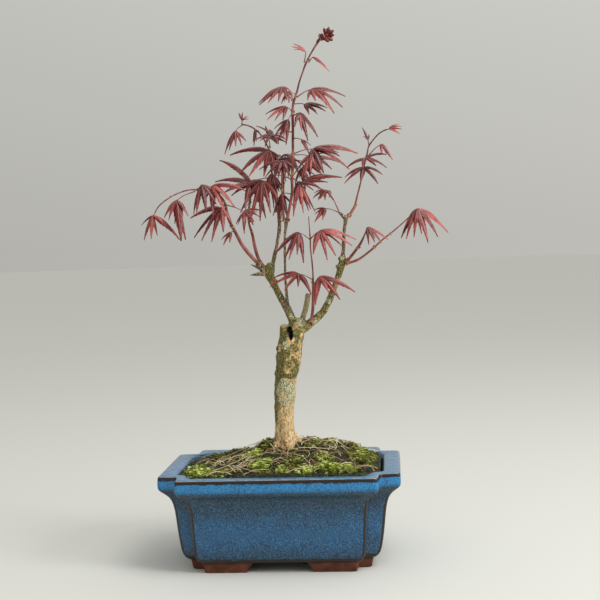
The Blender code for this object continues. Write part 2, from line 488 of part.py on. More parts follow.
# ---------------------------------------------------------------- leaves
# junction of blade and petiole, foot of the petiole, then each lobe's tip measured from the junction
LEAVES = (
    ((-101.6, -31.8, 303.0), (-100.1, -31.5, 305.2),
     ((-11, 3, -8), (-8, -4, -21), (-1, -8, -20), (10, -8, -7), (22, 2, -21), (1, 9, -17))),
    ((-81.0, -31.0, 315.5), (-67.0, -26.0, 322.2),
     ((-4, 8, -20), (6, 3, -34), (10, -3, -14), (4, -8, -35), (-6, -9, -17), (-11, -3, -15))),
    ((-59.5, -26.6, 328.0), (-61.2, -24.6, 326.0),
     ((-8, -2, -25), (-4, -9, -25), (5, -12, -24), (13, -7, -17), (19, 2, -14))),
    ((-19.8, -4.6, 329.2), (-4.8, 12.0, 334.0),
     ((-28, 9, 21), (-31, -4, 2), (-23, -14, -9), (-5, -12, -22), (10, -10, -18), (12, 3, -31))),
    ((-24.0, -22.0, 303.5), (-39.0, -18.6, 310.0),
     ((10, 6, 0), (13, -3, -4), (9, -9, -9), (0, -10, -12), (-7, -6, -10))),
    ((-44.6, -20.6, 308.0), (-42.6, -18.6, 309.4),
     ((-28, 8, -8), (-24, -2, -25), (-16, -11, -28), (-7, -14, -29), (3, -12, -21), (10, -6, -14))),
    ((-37.5, -16.4, 286.8), (-36.2, -14.6, 287.2),
     ((-8, -1, -6), (-6, -5, -11), (0, -8, -9))),
    ((-3.6, 5.0, 357.2), (-4.6, 13.2, 355.6),
     ((-36, 7, -2), (-26, -12, -20), (-17, -19, -24), (-4, -17, -23), (5, -11, -20), (10, -3, -8))),
    ((11.0, -5.0, 411.0), (18.4, -1.2, 399.0),
     ((-14, 10, -6), (-22, 2, -13), (-20, -8, -16), (-12, -13, -15), (-3, -15, -14), (4, -11, -13),
      (9, -3, -7))),
    ((35.5, -1.0, 408.6), (23.6, 1.0, 403.0),
     ((12, 12, -13), (29, 6, -7), (27, -5, -17), (20, -13, -23), (4, -14, -12), (-3, -10, -11))),
    ((29.0, 6.0, 396.6), (21.2, 2.4, 396.8),
     ((9, 13, -5), (19, 8, -3), (18, -2, -7), (11, -8, -10), (4, -11, -10))),
    ((25.0, -7.0, 388.0), (20.2, -2.8, 386.6),
     ((8, 9, -12), (15, 4, -21), (7, -5, -25), (2, -10, -16), (-4, -10, -13))),
    ((26.5, -9.0, 364.5), (19.8, -4.4, 366.4),
     ((7, 5, -5), (6, -2, -13), (3, -9, -8))),
    ((13.6, -9.4, 393.4), (17.4, -3.0, 390.4),
     ((-12, 7, -4), (-18, -2, -6), (-16, -10, -12), (-9, -13, -13), (-2, -14, -13))),
    ((1.5, -13.6, 369.0), (15.8, -4.6, 372.0),
     ((-4, 11, 6), (-14, -2, 8), (-15, -10, -5), (-5, -13, -7), (6, -12, -9), (12, -7, -5))),
    ((-33.0, 4.6, 375.4), (-28.8, 9.6, 380.0),
     ((-9, 6, -12), (-10, -2, -20), (-5, -7, -17), (1, -9, -14), (6, -7, -13), (9, 0, -9))),
    ((-2.8, 8.0, 337.2), (-2.6, 12.2, 334.4),
     ((-9, -5, -24), (-4, -9, -18), (2, -10, -27), (7, -6, -16), (9, 1, -12))),
    ((101.4, 7.4, 372.2), (100.0, 7.7, 372.0),
     ((9, 3, 4), (11, 0, 2), (11, -4, -1), (9, -7, -5))),
    ((94.7, 6.0, 359.4), (83.2, 12.6, 350.6),
     ((4, 8, -9), (9, 2, -14), (7, -6, -12), (0, -8, -10))),
    ((80.6, 6.0, 347.6), (80.4, 11.0, 346.6),
     ((18, 4, 3), (18, -4, -9), (9, -11, -8), (-3, -13, -8), (-17, -4, -8))),
    ((78.8, 4.4, 339.6), (77.8, 10.0, 337.8),
     ((-17, -2, -8), (-17, -9, -14), (-3, -13, -14), (12, -8, -15), (16, -1, -7))),
    ((44.0, 0.0, 305.0), (54.6, 2.8, 301.6),
     ((-10, 4, -1), (-9, -3, -5), (-9, -8, -12), (-2, -10, -10))),
    ((47.0, -4.0, 320.0), (55.2, 1.8, 303.6),
     ((3, 9, -2), (-9, 4, -6), (-12, -5, -5), (-6, -10, -7), (2, -10, -6))),
    ((24.0, -13.0, 326.4), (18.0, -8.8, 331.4),
     ((36, 2, 4), (24, -6, 0), (18, -11, -5), (9, -13, -22), (3, -15, -25), (-6, -14, -28))),
    ((29.5, 4.0, 345.0), (19.2, -3.6, 347.6),
     ((12, 10, -6), (14, 3, -12), (10, -8, -9), (3, -11, -12), (-7, -7, -13))),
    ((36.0, -8.0, 356.4), (19.6, -4.8, 353.4),
     ((21, 12, -3), (38, 2, -5), (31, -6, -19), (23, -12, -8), (9, -14, -22), (-3, -13, -15))),
    ((40.6, -24.0, 285.6), (32.4, -18.8, 279.4),
     ((18, 10, -14), (30, 2, -9), (27, -6, -14), (13, -12, -22), (6, -13, -25), (-6, -11, -20))),
    ((22.0, -22.0, 284.6), (30.4, -18.8, 278.8),
     ((-21, 2, -18), (-12, -8, -22), (-8, -14, -23), (-1, -13, -19), (4, -9, -26))),
    ((20.0, -14.4, 249.2), (30.8, -11.4, 244.0),
     ((-22, 5, -3), (-25, -2, -11), (-12, -8, -14), (0, -10, -11), (11, -10, -18))),
    ((38.6, -17.0, 246.2), (33.2, -11.6, 239.6),
     ((14, 10, -8), (30, 0, -14), (17, -8, -20), (8, -11, -14), (-4, -9, -24))),
    ((80.6, -10.4, 287.2), (79.9, -9.0, 285.8),
     ((6, 8, -10), (17, 2, -11), (12, -5, -14), (6, -9, -13), (1, -9, -15))),
    ((124.6, 13.4, 302.2), (123.2, 13.4, 300.4),
     ((-15, 9, -25), (-11, -9, -26), (-4, -12, -25), (8, -10, -30), (17, -5, -25), (26, 3, -22),
      (3, 12, -22))),
    ((31.2, 5.0, 441.4), (29.8, 4.2, 433.8),
     ((-11, 3, 8), (-12, -1, 5), (-10, -5, 2))),
    ((37.4, 1.2, 436.4), (34.4, 2.2, 433.2),
     ((14, 2, -13), (11, -3, -9), (4, -5, -5))),
    ((82.8, 15.4, 364.0), (83.4, 15.2, 360.4),
     ((-5, -1, 11), (-4, -4, 3), (1, 3, 5))),
    ((-27.4, 10.6, 385.0), (-27.6, 10.8, 383.2),
     ((-3, 2, 7), (1, -3, 7), (5, 3, 4), (6, -2, 1))),
    ((9.6, -17.0, 347.0), (9.2, -15.6, 343.6),
     ((-6, 6, -6), (-9, -3, -8), (-4, -9, -12), (5, -8, -12), (9, -3, -6))),
    ((10.0, 17.6, 354.6), (9.2, 17.2, 351.4),
     ((-10, 6, -8), (-5, 10, -13), (7, 10, -11), (11, 3, -8), (8, -6, -10))),
)
HUB_SHARE = 0.11             # hub radius as a share of the mean lobe length
LOBE_WIDTH = 0.105           # half width of a lobe as a share of its length
LOBE_ARCH = 0.10             # rise of a lobe's middle above the straight line to its tip
NEIGHBOUR_SHARE = 0.36       # how much of the space to the next lobe a half width may take
SINUS_ANGLE = math.radians(32)   # how far round the hub a lobe's foot may spread to each side
NOTCH_ANGLE = math.radians(5)    # half of the narrow notch between two lobes' feet
OPEN_ANGLE = math.radians(150)   # a wider gap between lobes leaves the hub open there
HUB_DROP = 0.35              # how far the hub's rim hangs below its centre, in hub radii
MIDDLE_AT = 0.46             # where along a lobe it is widest
DROOP = 0.45                 # how much a blade's upward direction leans away from its lobes
PETIOLE_TUCK = 0.4           # how far under the blade the petiole's end sits


def leaf_frame(tips):
    """The blade's upward direction and two directions across it."""
    mean = sum((t.normalized() for t in tips), Vector()).normalized()
    up = (Vector((0.0, 0.0, 1.0)) - DROOP * mean).normalized()
    side = up.orthogonal().normalized()
    return up, side, up.cross(side)


def leaf_blade(junction, tips):
    up, side, ahead = leaf_frame(tips)
    lobes = sorted((math.atan2(t.dot(ahead), t.dot(side)), t) for t in tips)
    hub = HUB_SHARE * sum(t.length for t in tips) / len(tips)
    bm = bmesh.new()
    centre = bm.verts.new(junction)

    def hub_point(angle):
        across = math.cos(angle) * side + math.sin(angle) * ahead
        return bm.verts.new(junction + hub * (across - HUB_DROP * up))

    gaps = []
    for i, (angle, _) in enumerate(lobes):
        following = lobes[(i + 1) % len(lobes)][0]
        gaps.append((following - angle) % math.tau)
    ends = []
    for (angle, _), gap in zip(lobes, gaps):
        reach = min(gap / 2 - NOTCH_ANGLE, SINUS_ANGLE)
        ends.append((hub_point(angle + reach), hub_point(angle + gap - reach)))
        if gap < OPEN_ANGLE:
            bm.faces.new((centre, *ends[-1]))
    middles = [junction + MIDDLE_AT * tip + LOBE_ARCH * tip.length * up for _, tip in lobes]
    for i, (_, tip) in enumerate(lobes):
        right, left = ends[i - 1][1], ends[i][0]
        bm.faces.new((centre, right, left))
        middle = middles[i]
        beside = (middles[i - 1], middles[(i + 1) % len(middles)])
        room = min((middle - other).length for other in beside)
        half = min(LOBE_WIDTH * tip.length, NEIGHBOUR_SHARE * room) * up.cross(tip).normalized()
        wide_right = bm.verts.new(middle - half)
        wide_left = bm.verts.new(middle + half)
        point = bm.verts.new(junction + tip)
        bm.faces.new((right, wide_right, wide_left, left))
        bm.faces.new((wide_right, point, wide_left))
    bmesh.ops.triangulate(bm, faces=bm.faces)
    return bm, up


def make_leaf(number, junction, foot, tips):
    junction = Vector(junction)
    foot = Vector(foot)
    bm, up = leaf_blade(junction, [Vector(t) for t in tips])
    name = f"leaf_{number:02d}"
    leaf = mesh_object(name, bm, RED_LEAF)
    solid = leaf.modifiers.new("thickness", "SOLIDIFY")
    solid.thickness = BLADE_THICKNESS * MM
    solid.offset = 0.0
    bend_at, bend_rise = PETIOLE_BEND
    bend = junction.lerp(foot, bend_at) + bend_rise * (foot - junction).length * up
    inside = junction - PETIOLE_TUCK * up
    route = [(*p, PETIOLE_RADIUS) for p in (foot, bend, inside)]
    petiole = tube(f"{name}_petiole", route, visible=False, resolution=1)
    boolean(leaf, petiole, "UNION", folded=True)


# ---------------------------------------------------------------- assembly
make_pot()
drainage_mesh("left", -1)
drainage_mesh("right", 1)
(base_x, base_y, base_z, base_radius), *rest = TRUNK_AXIS[:SOCKET_POINTS]
socket_route = [(base_x, base_y, base_z - GAP, base_radius), *rest]
socket = tube("trunk_socket", socket_route, visible=False, extra=CURVE_GAP, resolution=4)
make_moss(make_soil(socket))
make_trunk()
make_shoots()
make_bud()
for number, (junction, foot, tips) in enumerate(LEAVES, start=1):
    make_leaf(number, junction, foot, tips)
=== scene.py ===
"""How a red-leaved Japanese maple bonsai looks in its blue-glazed pot with stepped corners.

Lengths are millimetres in the pot's own frame (X right, Y back, Z up, the pot's centre over 0, 0 and
its feet at Z = 0) until spot() turns them into the scene's metres.
"""

import math
import random

import bmesh
import bpy
from mathutils import Matrix, Vector, noise


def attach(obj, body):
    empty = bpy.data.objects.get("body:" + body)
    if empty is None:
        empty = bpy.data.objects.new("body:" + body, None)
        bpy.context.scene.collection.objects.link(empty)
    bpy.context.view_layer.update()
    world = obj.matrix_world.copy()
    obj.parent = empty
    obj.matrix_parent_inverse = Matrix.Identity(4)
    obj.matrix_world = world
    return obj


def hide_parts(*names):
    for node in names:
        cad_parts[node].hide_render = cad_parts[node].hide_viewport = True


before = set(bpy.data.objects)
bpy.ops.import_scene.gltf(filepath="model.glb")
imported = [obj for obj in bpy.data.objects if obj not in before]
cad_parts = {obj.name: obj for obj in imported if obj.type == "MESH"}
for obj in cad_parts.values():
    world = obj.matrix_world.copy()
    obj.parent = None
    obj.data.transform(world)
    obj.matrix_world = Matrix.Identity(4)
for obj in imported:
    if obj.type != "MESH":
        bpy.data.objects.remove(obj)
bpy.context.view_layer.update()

MM = 0.001
POT_X = -18.5                # the pot's centre, from the middle of the whole plant
chance = random.Random(41)   # every random draw below comes from here, in a fixed order


def spot(x, y, z):
    """A place in the pot's frame, in millimetres, as a point of the scene."""
    return Vector(((x + POT_X) * MM, y * MM, z * MM))


def in_pot_frame(point):
    return Vector((point.x / MM - POT_X, point.y / MM, point.z / MM))


# ---------------------------------------------------------------- working with pieces
def clear_selection():
    bpy.ops.object.select_all(action="DESELECT")


def hold(piece):
    """Selects one piece only and makes it the active one."""
    clear_selection()
    piece.select_set(True)
    bpy.context.view_layer.objects.active = piece


def finish_with(piece, kind, **settings):
    """Adds a modifier and applies it."""
    hold(piece)
    modifier = piece.modifiers.new(kind.lower(), kind)
    for key, value in settings.items():
        setattr(modifier, key, value)
    bpy.ops.object.modifier_apply(modifier=modifier.name)


def join(pieces):
    clear_selection()
    for piece in pieces:
        piece.select_set(True)
    bpy.context.view_layer.objects.active = pieces[0]
    if len(pieces) > 1:
        bpy.ops.object.join()
    return pieces[0]


def smooth(piece, angle=None):
    hold(piece)
    if angle is None:
        bpy.ops.object.shade_smooth()
    else:
        bpy.ops.object.shade_smooth_by_angle(angle=math.radians(angle))


def settle(piece, name, finishes, slot, *nodes):
    """Names a finished piece, gives it its materials, and ties it to the CAD frame."""
    piece.name = name
    piece.data.name = name
    piece.data.materials.clear()
    for finish in finishes:
        piece.data.materials.append(finish)
    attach(piece, "root")
    if nodes:
        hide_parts(*nodes)
    return piece


def paint(piece, name, values):
    """Stores one number for each point, for the piece's material to read."""
    layer = piece.data.attributes.get(name) or piece.data.attributes.new(name, "FLOAT", "POINT")
    layer.data.foreach_set("value", values)


def loft(rings, marks=None):
    """Extrudes a circle through rings of points and closes both ends.

    marks gives, for each mark's name, the numbers of each ring's points.
    """
    marks = marks or {}
    clear_selection()
    bpy.ops.mesh.primitive_circle_add(vertices=len(rings[0]), radius=MM)
    piece = bpy.context.object
    bpy.ops.object.mode_set(mode="EDIT")
    bm = bmesh.from_edit_mesh(piece.data)
    bm.verts.layers.int.new("place")
    for mark in marks:
        bm.verts.layers.float.new(mark)
    place = bm.verts.layers.int["place"]
    for i, vert in enumerate(bm.verts):
        vert[place] = i
    for n, ring in enumerate(rings):
        if n:
            bpy.ops.mesh.extrude_edges_move()
            bm = bmesh.from_edit_mesh(piece.data)
            place = bm.verts.layers.int["place"]
        layers = {mark: bm.verts.layers.float[mark] for mark in marks}
        for vert in bm.verts:
            if vert.select:
                vert.co = ring[vert[place]]
                for mark, layer in layers.items():
                    vert[layer] = marks[mark][n][vert[place]]
        if n == len(rings) - 1:
            bpy.ops.mesh.edge_face_add()
        bmesh.update_edit_mesh(piece.data)
    bpy.ops.mesh.select_all(action="DESELECT")
    bm = bmesh.from_edit_mesh(piece.data)
    bm.verts.ensure_lookup_table()
    for vert in bm.verts[:len(rings[0])]:
        vert.select = True
    bm.select_flush(True)
    bpy.ops.mesh.edge_face_add()
    bpy.ops.mesh.select_all(action="SELECT")
    bpy.ops.mesh.normals_make_consistent(inside=False)
    bpy.ops.object.mode_set(mode="OBJECT")
    return piece


def finer(route, step):
    """Points of (x, y, z, radius) about every step along a smooth curve through the given ones."""
    points = [Vector(p) for p in route]
    points = [2 * points[0] - points[1], *points, 2 * points[-1] - points[-2]]
    fine = []
    for a, b, c, d in zip(points, points[1:], points[2:], points[3:]):
        count = max(1, round((c - b).xyz.length / step))
        for k in range(count):
            t = k / count
            bend = (2 * a - 5 * b + 4 * c - d) * t ** 2 + (3 * b - a - 3 * c + d) * t ** 3
            fine.append(b + 0.5 * ((c - a) * t + bend))
    fine.append(points[-2])
    return fine


def rings_along(route, sides, swell=None):
    """Rings of points round a route, square to it and not twisting from one to the next.

    swell gives a share of the radius for a ring's number and a turn round it.
    """
    rings = []
    across = None
    for i, point in enumerate(route):
        ahead = (route[min(i + 1, len(route) - 1)] - route[max(i - 1, 0)]).xyz.normalized()
        if across is None:
            across = ahead.orthogonal()
        across = (across - across.dot(ahead) * ahead).normalized()
        other = ahead.cross(across)
        ring = []
        for k in range(sides):
            turn = math.tau * k / sides
            reach = point.w * (swell(i, turn) if swell else 1.0)
            ring.append(spot(*(point.xyz + reach * (math.cos(turn) * across + math.sin(turn) * other))))
        rings.append(ring)
    return rings


def rounded_off(route, ends):
    """Adds points that close a route with a small dome, at its start, its end or both."""
    route = list(route)
    for end, wanted in enumerate(ends):
        if not wanted:
            continue
        tip, before = (route[-1], route[-2]) if end else (route[0], route[1])
        ahead = (tip - before).xyz.normalized()
        for along, narrow in ((0.45, 0.85), (0.8, 0.5)):
            point = tip.xyz + along * tip.w * ahead
            extra = Vector((*point, tip.w * narrow))
            if end:
                route.append(extra)
            else:
                route.insert(0, extra)
    return route


def stem(route, sides, step, swell=None, ends=(True, True)):
    """A round stem along a route, with a point about every step."""
    return loft(rings_along(rounded_off(finer(route, step), ends), sides, swell))


# ---------------------------------------------------------------- finishes
def colour(hex_value):
    """An sRGB hex value as linear red, green, blue and alpha."""
    channels = [int(hex_value[i:i + 2], 16) / 255 for i in (1, 3, 5)]
    linear = [c / 12.92 if c <= 0.04045 else ((c + 0.055) / 1.055) ** 2.4 for c in channels]
    return (*linear, 1.0)


def new_finish(name, roughness, **sockets):
    """A new material, with its node tree and its shader."""
    finish = bpy.data.materials.new(name)
    finish.use_nodes = True
    shader = finish.node_tree.nodes["Principled BSDF"]
    shader.inputs["Roughness"].default_value = roughness
    for socket, value in sockets.items():
        shader.inputs[socket.replace("_", " ")].default_value = value
    return finish, finish.node_tree, shader


def add(tree, kind, links=(), values=(), **settings):
    """Adds one node: its settings, its sockets' own values, and links into its sockets."""
    node = tree.nodes.new("ShaderNode" + kind)
    for key, value in settings.items():
        setattr(node, key, value)
    for socket, value in values:
        node.inputs[socket].default_value = value
    for socket, source in links:
        tree.links.new(source, node.inputs[socket])
    return node


def ramp(tree, factor, *stops):
    """Colours, or levels of grey, at places along a factor."""
    node = add(tree, "ValToRGB", [(0, factor)])
    elements = node.color_ramp.elements
    while len(elements) < len(stops):
        elements.new(0.5)
    for element, (at, value) in zip(elements, sorted(stops)):
        element.position = at
        element.color = colour(value) if isinstance(value, str) else (value, value, value, 1.0)
    return node.outputs[0]


def blend(tree, factor, below, above, way="MIX"):
    """Lays one colour over another by a factor."""
    node = add(tree, "Mix", data_type="RGBA", blend_type=way)
    for socket, value in ((0, factor), (6, below), (7, above)):
        if isinstance(value, bpy.types.NodeSocket):
            tree.links.new(value, node.inputs[socket])
        elif isinstance(value, str):
            node.inputs[socket].default_value = colour(value)
        else:
            node.inputs[socket].default_value = value
    return node.outputs[2]


def grain(tree, place, size_mm, detail=3.0, roughness=0.6, stretch=(1, 1, 1), distortion=0.0):
    """Noise whose lumps measure about size_mm, drawn out along an axis where stretch is below 1."""
    scaled = add(tree, "Mapping", [("Vector", place)], [("Scale", stretch)])
    node = add(tree, "TexNoise", [("Vector", scaled.outputs[0])],
               [("Scale", 1 / (size_mm * MM)), ("Detail", detail), ("Roughness", roughness),
                ("Distortion", distortion)])
    return node.outputs[0]


def relief(tree, shader, height, depth_mm, strength=1.0):
    """Gives the skin bumps about depth_mm high."""
    bump = add(tree, "Bump", [("Height", height)],
               [("Strength", strength), ("Distance", depth_mm * MM)])
    tree.links.new(bump.outputs[0], shader.inputs["Normal"])


GLAZE_MARKS = ("tone_and_shade", "pale_line", "edge_break", "rim_top_reflection")


def glazed_stoneware():
    # Stoneware dipped in a floating blue glaze and fired: the glaze is glassy, breaks to brown and
    # buff on sharp edges, pools dark in the inner corners, and is full of fine pale specks. Its tone is
    # also painted darker in the cove under the rim, as shade, and its rim top paler, as a painted
    # reflection of the light from above.
    finish, tree, shader = new_finish("floating_blue_stoneware_glaze", 0.2, IOR=1.5)
    place = add(tree, "TexCoord").outputs["Object"]
    marks = {name: add(tree, "Attribute", attribute_name=name).outputs["Fac"] for name in GLAZE_MARKS}
    cloud = grain(tree, place, 16.0, 2.0)
    uneven = add(tree, "Math", [(0, cloud)], [(1, 0.3), (2, -0.1)], operation="MULTIPLY_ADD")
    # the glaze's own tone, with painted shade in the cove under the rim
    tone_and_shade = add(tree, "Math", [(0, marks["tone_and_shade"]), (1, uneven.outputs[0])], operation="ADD")
    base = ramp(tree, tone_and_shade.outputs[0], (0.0, "#0a0f13"), (0.22, "#111c25"), (0.5, "#123654"),
                (0.72, "#10598c"), (1.0, "#1780bc"))
    specks = ramp(tree, grain(tree, place, 0.75, 2.0, 0.7, (1, 1, 0.6)), (0.46, 0.0), (0.68, 0.66))
    base = blend(tree, specks, base, "#5590b4")
    pits = ramp(tree, grain(tree, place, 0.9, 2.0, 0.7), (0.35, 0.8), (0.5, 0.0))
    base = blend(tree, pits, base, "#0a121a")
    # the rim's top is painted paler and greyer: a painted reflection of the light from above
    rim_reflection_noise = grain(tree, place, 5.0, 3.0)
    top = ramp(tree, rim_reflection_noise, (0.3, "#28587f"), (0.7, "#4a7d9e"))
    base = blend(tree, marks["rim_top_reflection"], base, top)
    ragged = grain(tree, place, 2.4, 3.0, 0.7, (0.4, 0.4, 1))
    for mark, hue in (("pale_line", "#b9b0a0"), ("edge_break", "#20140f")):
        eaten = add(tree, "Math", [(0, ragged)], [(1, 1.1), (2, -0.62)], operation="MULTIPLY_ADD")
        level = add(tree, "Math", [(0, marks[mark]), (1, eaten.outputs[0])], operation="ADD")
        shown = ramp(tree, level.outputs[0], (0.2, 0.0), (0.42, 1.0))
        kept = add(tree, "Math", [(0, shown), (1, ramp(tree, marks[mark], (0.02, 0.0), (0.2, 1.0)))],
                   operation="MULTIPLY")
        base = blend(tree, kept.outputs[0], base, hue)
    tree.links.new(base, shader.inputs["Base Color"])
    relief(tree, shader, grain(tree, place, 1.3, 2.0), 0.08, 0.5)
    return finish


def bare_clay():
    # Red-brown stoneware clay left unglazed and wiped with a sponge: matt, sandy, darker where the
    # glaze stopped.
    finish, tree, shader = new_finish("bare_red_stoneware_clay", 0.82)
    place = add(tree, "TexCoord").outputs["Object"]
    base = ramp(tree, grain(tree, place, 6.0, 4.0), (0.25, "#38190c"), (0.5, "#5a2d18"), (0.8, "#7a4526"))
    height = add(tree, "SeparateXYZ", [(0, place)]).outputs["Z"]
    burnt = add(tree, "MapRange", [(0, height)], [(1, 0.0065), (2, 0.0092), (3, 0.0), (4, 0.8)])
    base = blend(tree, burnt.outputs[0], base, "#1e100c")
    tree.links.new(base, shader.inputs["Base Color"])
    relief(tree, shader, grain(tree, place, 0.7, 3.0), 0.12, 0.7)
    return finish


def netting_plastic():
    # Polyethylene drainage mesh, moulded: dull black with a faint waxy sheen.
    finish, tree, shader = new_finish("moulded_black_polyethylene", 0.55)
    place = add(tree, "TexCoord").outputs["Object"]
    base = ramp(tree, grain(tree, place, 3.0), (0.3, "#111211"), (0.7, "#1e1f1d"))
    tree.links.new(base, shader.inputs["Base Color"])
    relief(tree, shader, grain(tree, place, 0.5), 0.03, 0.5)
    return finish


def bonsai_soil():
    # Damp granular clay and rotted moss: nearly black in the gaps between grains, which is painted shade, olive
    # where algae cover it.
    finish, tree, shader = new_finish("damp_bonsai_soil", 0.94)
    place = add(tree, "TexCoord").outputs["Object"]
    # the near-black end is painted shade in the gaps between grains; the rest is the damp soil's own colour
    base = ramp(tree, grain(tree, place, 2.2, 4.0, 0.7), (0.3, "#070604"), (0.52, "#15130b"),
                (0.75, "#352d1a"))
    green = ramp(tree, grain(tree, place, 9.0, 4.0), (0.42, 0.0), (0.62, 0.75))
    base = blend(tree, green, base, "#39431a")
    tree.links.new(base, shader.inputs["Base Color"])
    relief(tree, shader, grain(tree, place, 1.2, 5.0, 0.7), 0.8)
    return finish


def grit():
    # Fired clay granules, crushed and sieved: dusty browns and greys.
    finish, tree, shader = new_finish("sieved_clay_grit", 0.9)
    place = add(tree, "TexCoord").outputs["Object"]
    base = ramp(tree, grain(tree, place, 3.4, 2.0), (0.3, "#1f1a12"), (0.46, "#3c2f1e"), (0.6, "#5c4a31"),
                (0.8, "#6f6656"))
    tree.links.new(base, shader.inputs["Base Color"])
    relief(tree, shader, grain(tree, place, 0.6, 3.0), 0.2)
    return finish


def star_moss():
    # Living star moss: fine pointed leaves, lime where it is growing and olive below.
    finish, tree, shader = new_finish("living_star_moss", 0.72, Subsurface_Weight=0.12,
                                      Subsurface_Scale=0.002)
    place = add(tree, "TexCoord").outputs["Object"]
    fresh = add(tree, "Attribute", attribute_name="fresh").outputs["Fac"]
    base = ramp(tree, fresh, (0.0, "#14170a"), (0.25, "#3c4214"), (0.5, "#7d832c"), (0.75, "#bccb55"),
                (1.0, "#e8f5a4"))
    fleck = ramp(tree, grain(tree, place, 2.0), (0.3, 0.72), (0.7, 1.1))
    base = blend(tree, 1.0, base, fleck, "MULTIPLY")
    tree.links.new(base, shader.inputs["Base Color"])
    return finish


def dry_straw():
    # Dead grass and moss stalks, dried: pale straw to brown, a little shiny along the fibre.
    finish, tree, shader = new_finish("dry_moss_stalks", 0.6)
    place = add(tree, "TexCoord").outputs["Object"]
    age = add(tree, "Attribute", attribute_name="age").outputs["Fac"]
    base = ramp(tree, age, (0.0, "#fff2cc"), (0.35, "#d9bb86"), (0.65, "#94704a"), (1.0, "#3a2a1b"))
    fleck = ramp(tree, grain(tree, place, 1.6), (0.25, 0.6), (0.7, 1.05))
    base = blend(tree, 1.0, base, fleck, "MULTIPLY")
    tree.links.new(base, shader.inputs["Base Color"])
    return finish


BARK_MARKS = ("algae_and_shade", "lichen", "wound", "twig", "cut_wood", "hollow_shade")


def old_bark():
    # Bark of an old cut-back maple, never dressed: fine upright cracks, green algae, grey and cream
    # lichen crust in blotches, tan where it has flaked. The side away from the light is painted darker
    # and greener, with less lichen, as shade.
    finish, tree, shader = new_finish("maple_bark_with_lichen_and_algae", 0.86)
    place = add(tree, "TexCoord").outputs["Object"]
    marks = {name: add(tree, "Attribute", attribute_name=name).outputs["Fac"] for name in BARK_MARKS}
    fibre = grain(tree, place, 1.7, 5.0, 0.75, (1, 1, 0.5), 0.3)
    base = ramp(tree, fibre, (0.32, "#46321a"), (0.42, "#a07a48"), (0.53, "#d3ae72"), (0.65, "#f0dfba"))
    twig = ramp(tree, grain(tree, place, 1.5, 3.0, 0.6, (1, 1, 0.5)), (0.3, "#3a2b1d"), (0.55, "#6d5436"),
                (0.8, "#8f7650"))
    base = blend(tree, marks["twig"], base, twig)
    # the algae colour, laid more thickly on the side away from the light as painted shade
    moss = ramp(tree, grain(tree, place, 1.4, 4.0, 0.75), (0.34, "#0e0e05"), (0.45, "#3f3e14"),
                (0.56, "#7d752f"), (0.7, "#c9b666"))
    patchy = grain(tree, place, 3.6, 4.0, 0.7)
    wound = ramp(tree, fibre, (0.3, "#38210f"), (0.46, "#835a30"), (0.66, "#c79c68"))
    lichen = ramp(tree, grain(tree, place, 1.1, 4.0, 0.8), (0.37, "#33341c"), (0.47, "#8a865a"),
                  (0.55, "#c6c19a"), (0.65, "#f4f0dc"))
    bare = ramp(tree, fibre, (0.3, "#7e7450"), (0.7, "#b8ac84"))
    for mark, hue, noise_share in (("algae_and_shade", moss, 0.9), ("wound", wound, 0.9), ("lichen", lichen, 1.2),
                                   ("cut_wood", bare, 0.3)):
        eaten = add(tree, "Math", [(0, patchy)], [(1, noise_share * 1.6), (2, -0.8 * noise_share)],
                    operation="MULTIPLY_ADD")
        level = add(tree, "Math", [(0, marks[mark]), (1, eaten.outputs[0])], operation="ADD")
        base = blend(tree, ramp(tree, level.outputs[0], (0.42, 0.0), (0.6, 1.0)), base, hue)
    dots = ramp(tree, grain(tree, place, 0.9, 2.0, 0.6), (0.3, 0.7), (0.4, 0.0))
    base = blend(tree, dots, base, "#1a140b")
    flakes = ramp(tree, grain(tree, place, 1.0, 3.0, 0.7, (1, 1, 0.7), 1.0), (0.53, 0.0), (0.64, 0.8))
    bare_share = ramp(tree, marks["algae_and_shade"], (0.1, 1.0), (0.45, 0.25))
    flakes = add(tree, "Math", [(0, flakes), (1, bare_share)], operation="MULTIPLY").outputs[0]
    base = blend(tree, flakes, base, "#e6dcc4")
    # near-black inside the rotted pocket: painted shade
    base = blend(tree, marks["hollow_shade"], base, "#100b06")
    tree.links.new(base, shader.inputs["Base Color"])
    relief(tree, shader, grain(tree, place, 1.3, 5.0, 0.7, (1, 1, 0.5)), 0.9)
    return finish


def young_bark():
    # This year's shoots: smooth waxy skin, red, olive near the old wood, with pale pink streaks that are painted
    # highlights.
    finish, tree, shader = new_finish("smooth_red_young_bark", 0.42, Coat_Weight=0.12,
                                      Subsurface_Weight=0.08, Subsurface_Scale=0.001)
    place = add(tree, "TexCoord").outputs["Object"]
    along = add(tree, "Attribute", attribute_name="along").outputs["Fac"]
    base = ramp(tree, along, (0.0, "#5c3d22"), (0.08, "#6d2a1a"), (0.3, "#6a1d1b"), (0.65, "#521719"),
                (1.0, "#241013"))
    # pale pink streaks along the shoots: painted highlights
    pink_highlight = ramp(tree, grain(tree, place, 4.0, 3.0, 0.6, (1, 1, 0.4)), (0.38, 0.0), (0.66, 0.65))
    base = blend(tree, pink_highlight, base, "#b7655b")
    ringed = add(tree, "Attribute", attribute_name="ring").outputs["Fac"]
    base = blend(tree, ringed, base, "#c6b348")
    tree.links.new(base, shader.inputs["Base Color"])
    relief(tree, shader, grain(tree, place, 0.8, 3.0, 0.6, (1, 1, 0.3)), 0.1, 0.6)
    return finish


VEINS = 8                    # side veins on each side of a lobe
RIB = "#cc958b"              # colour of the ribs and veins


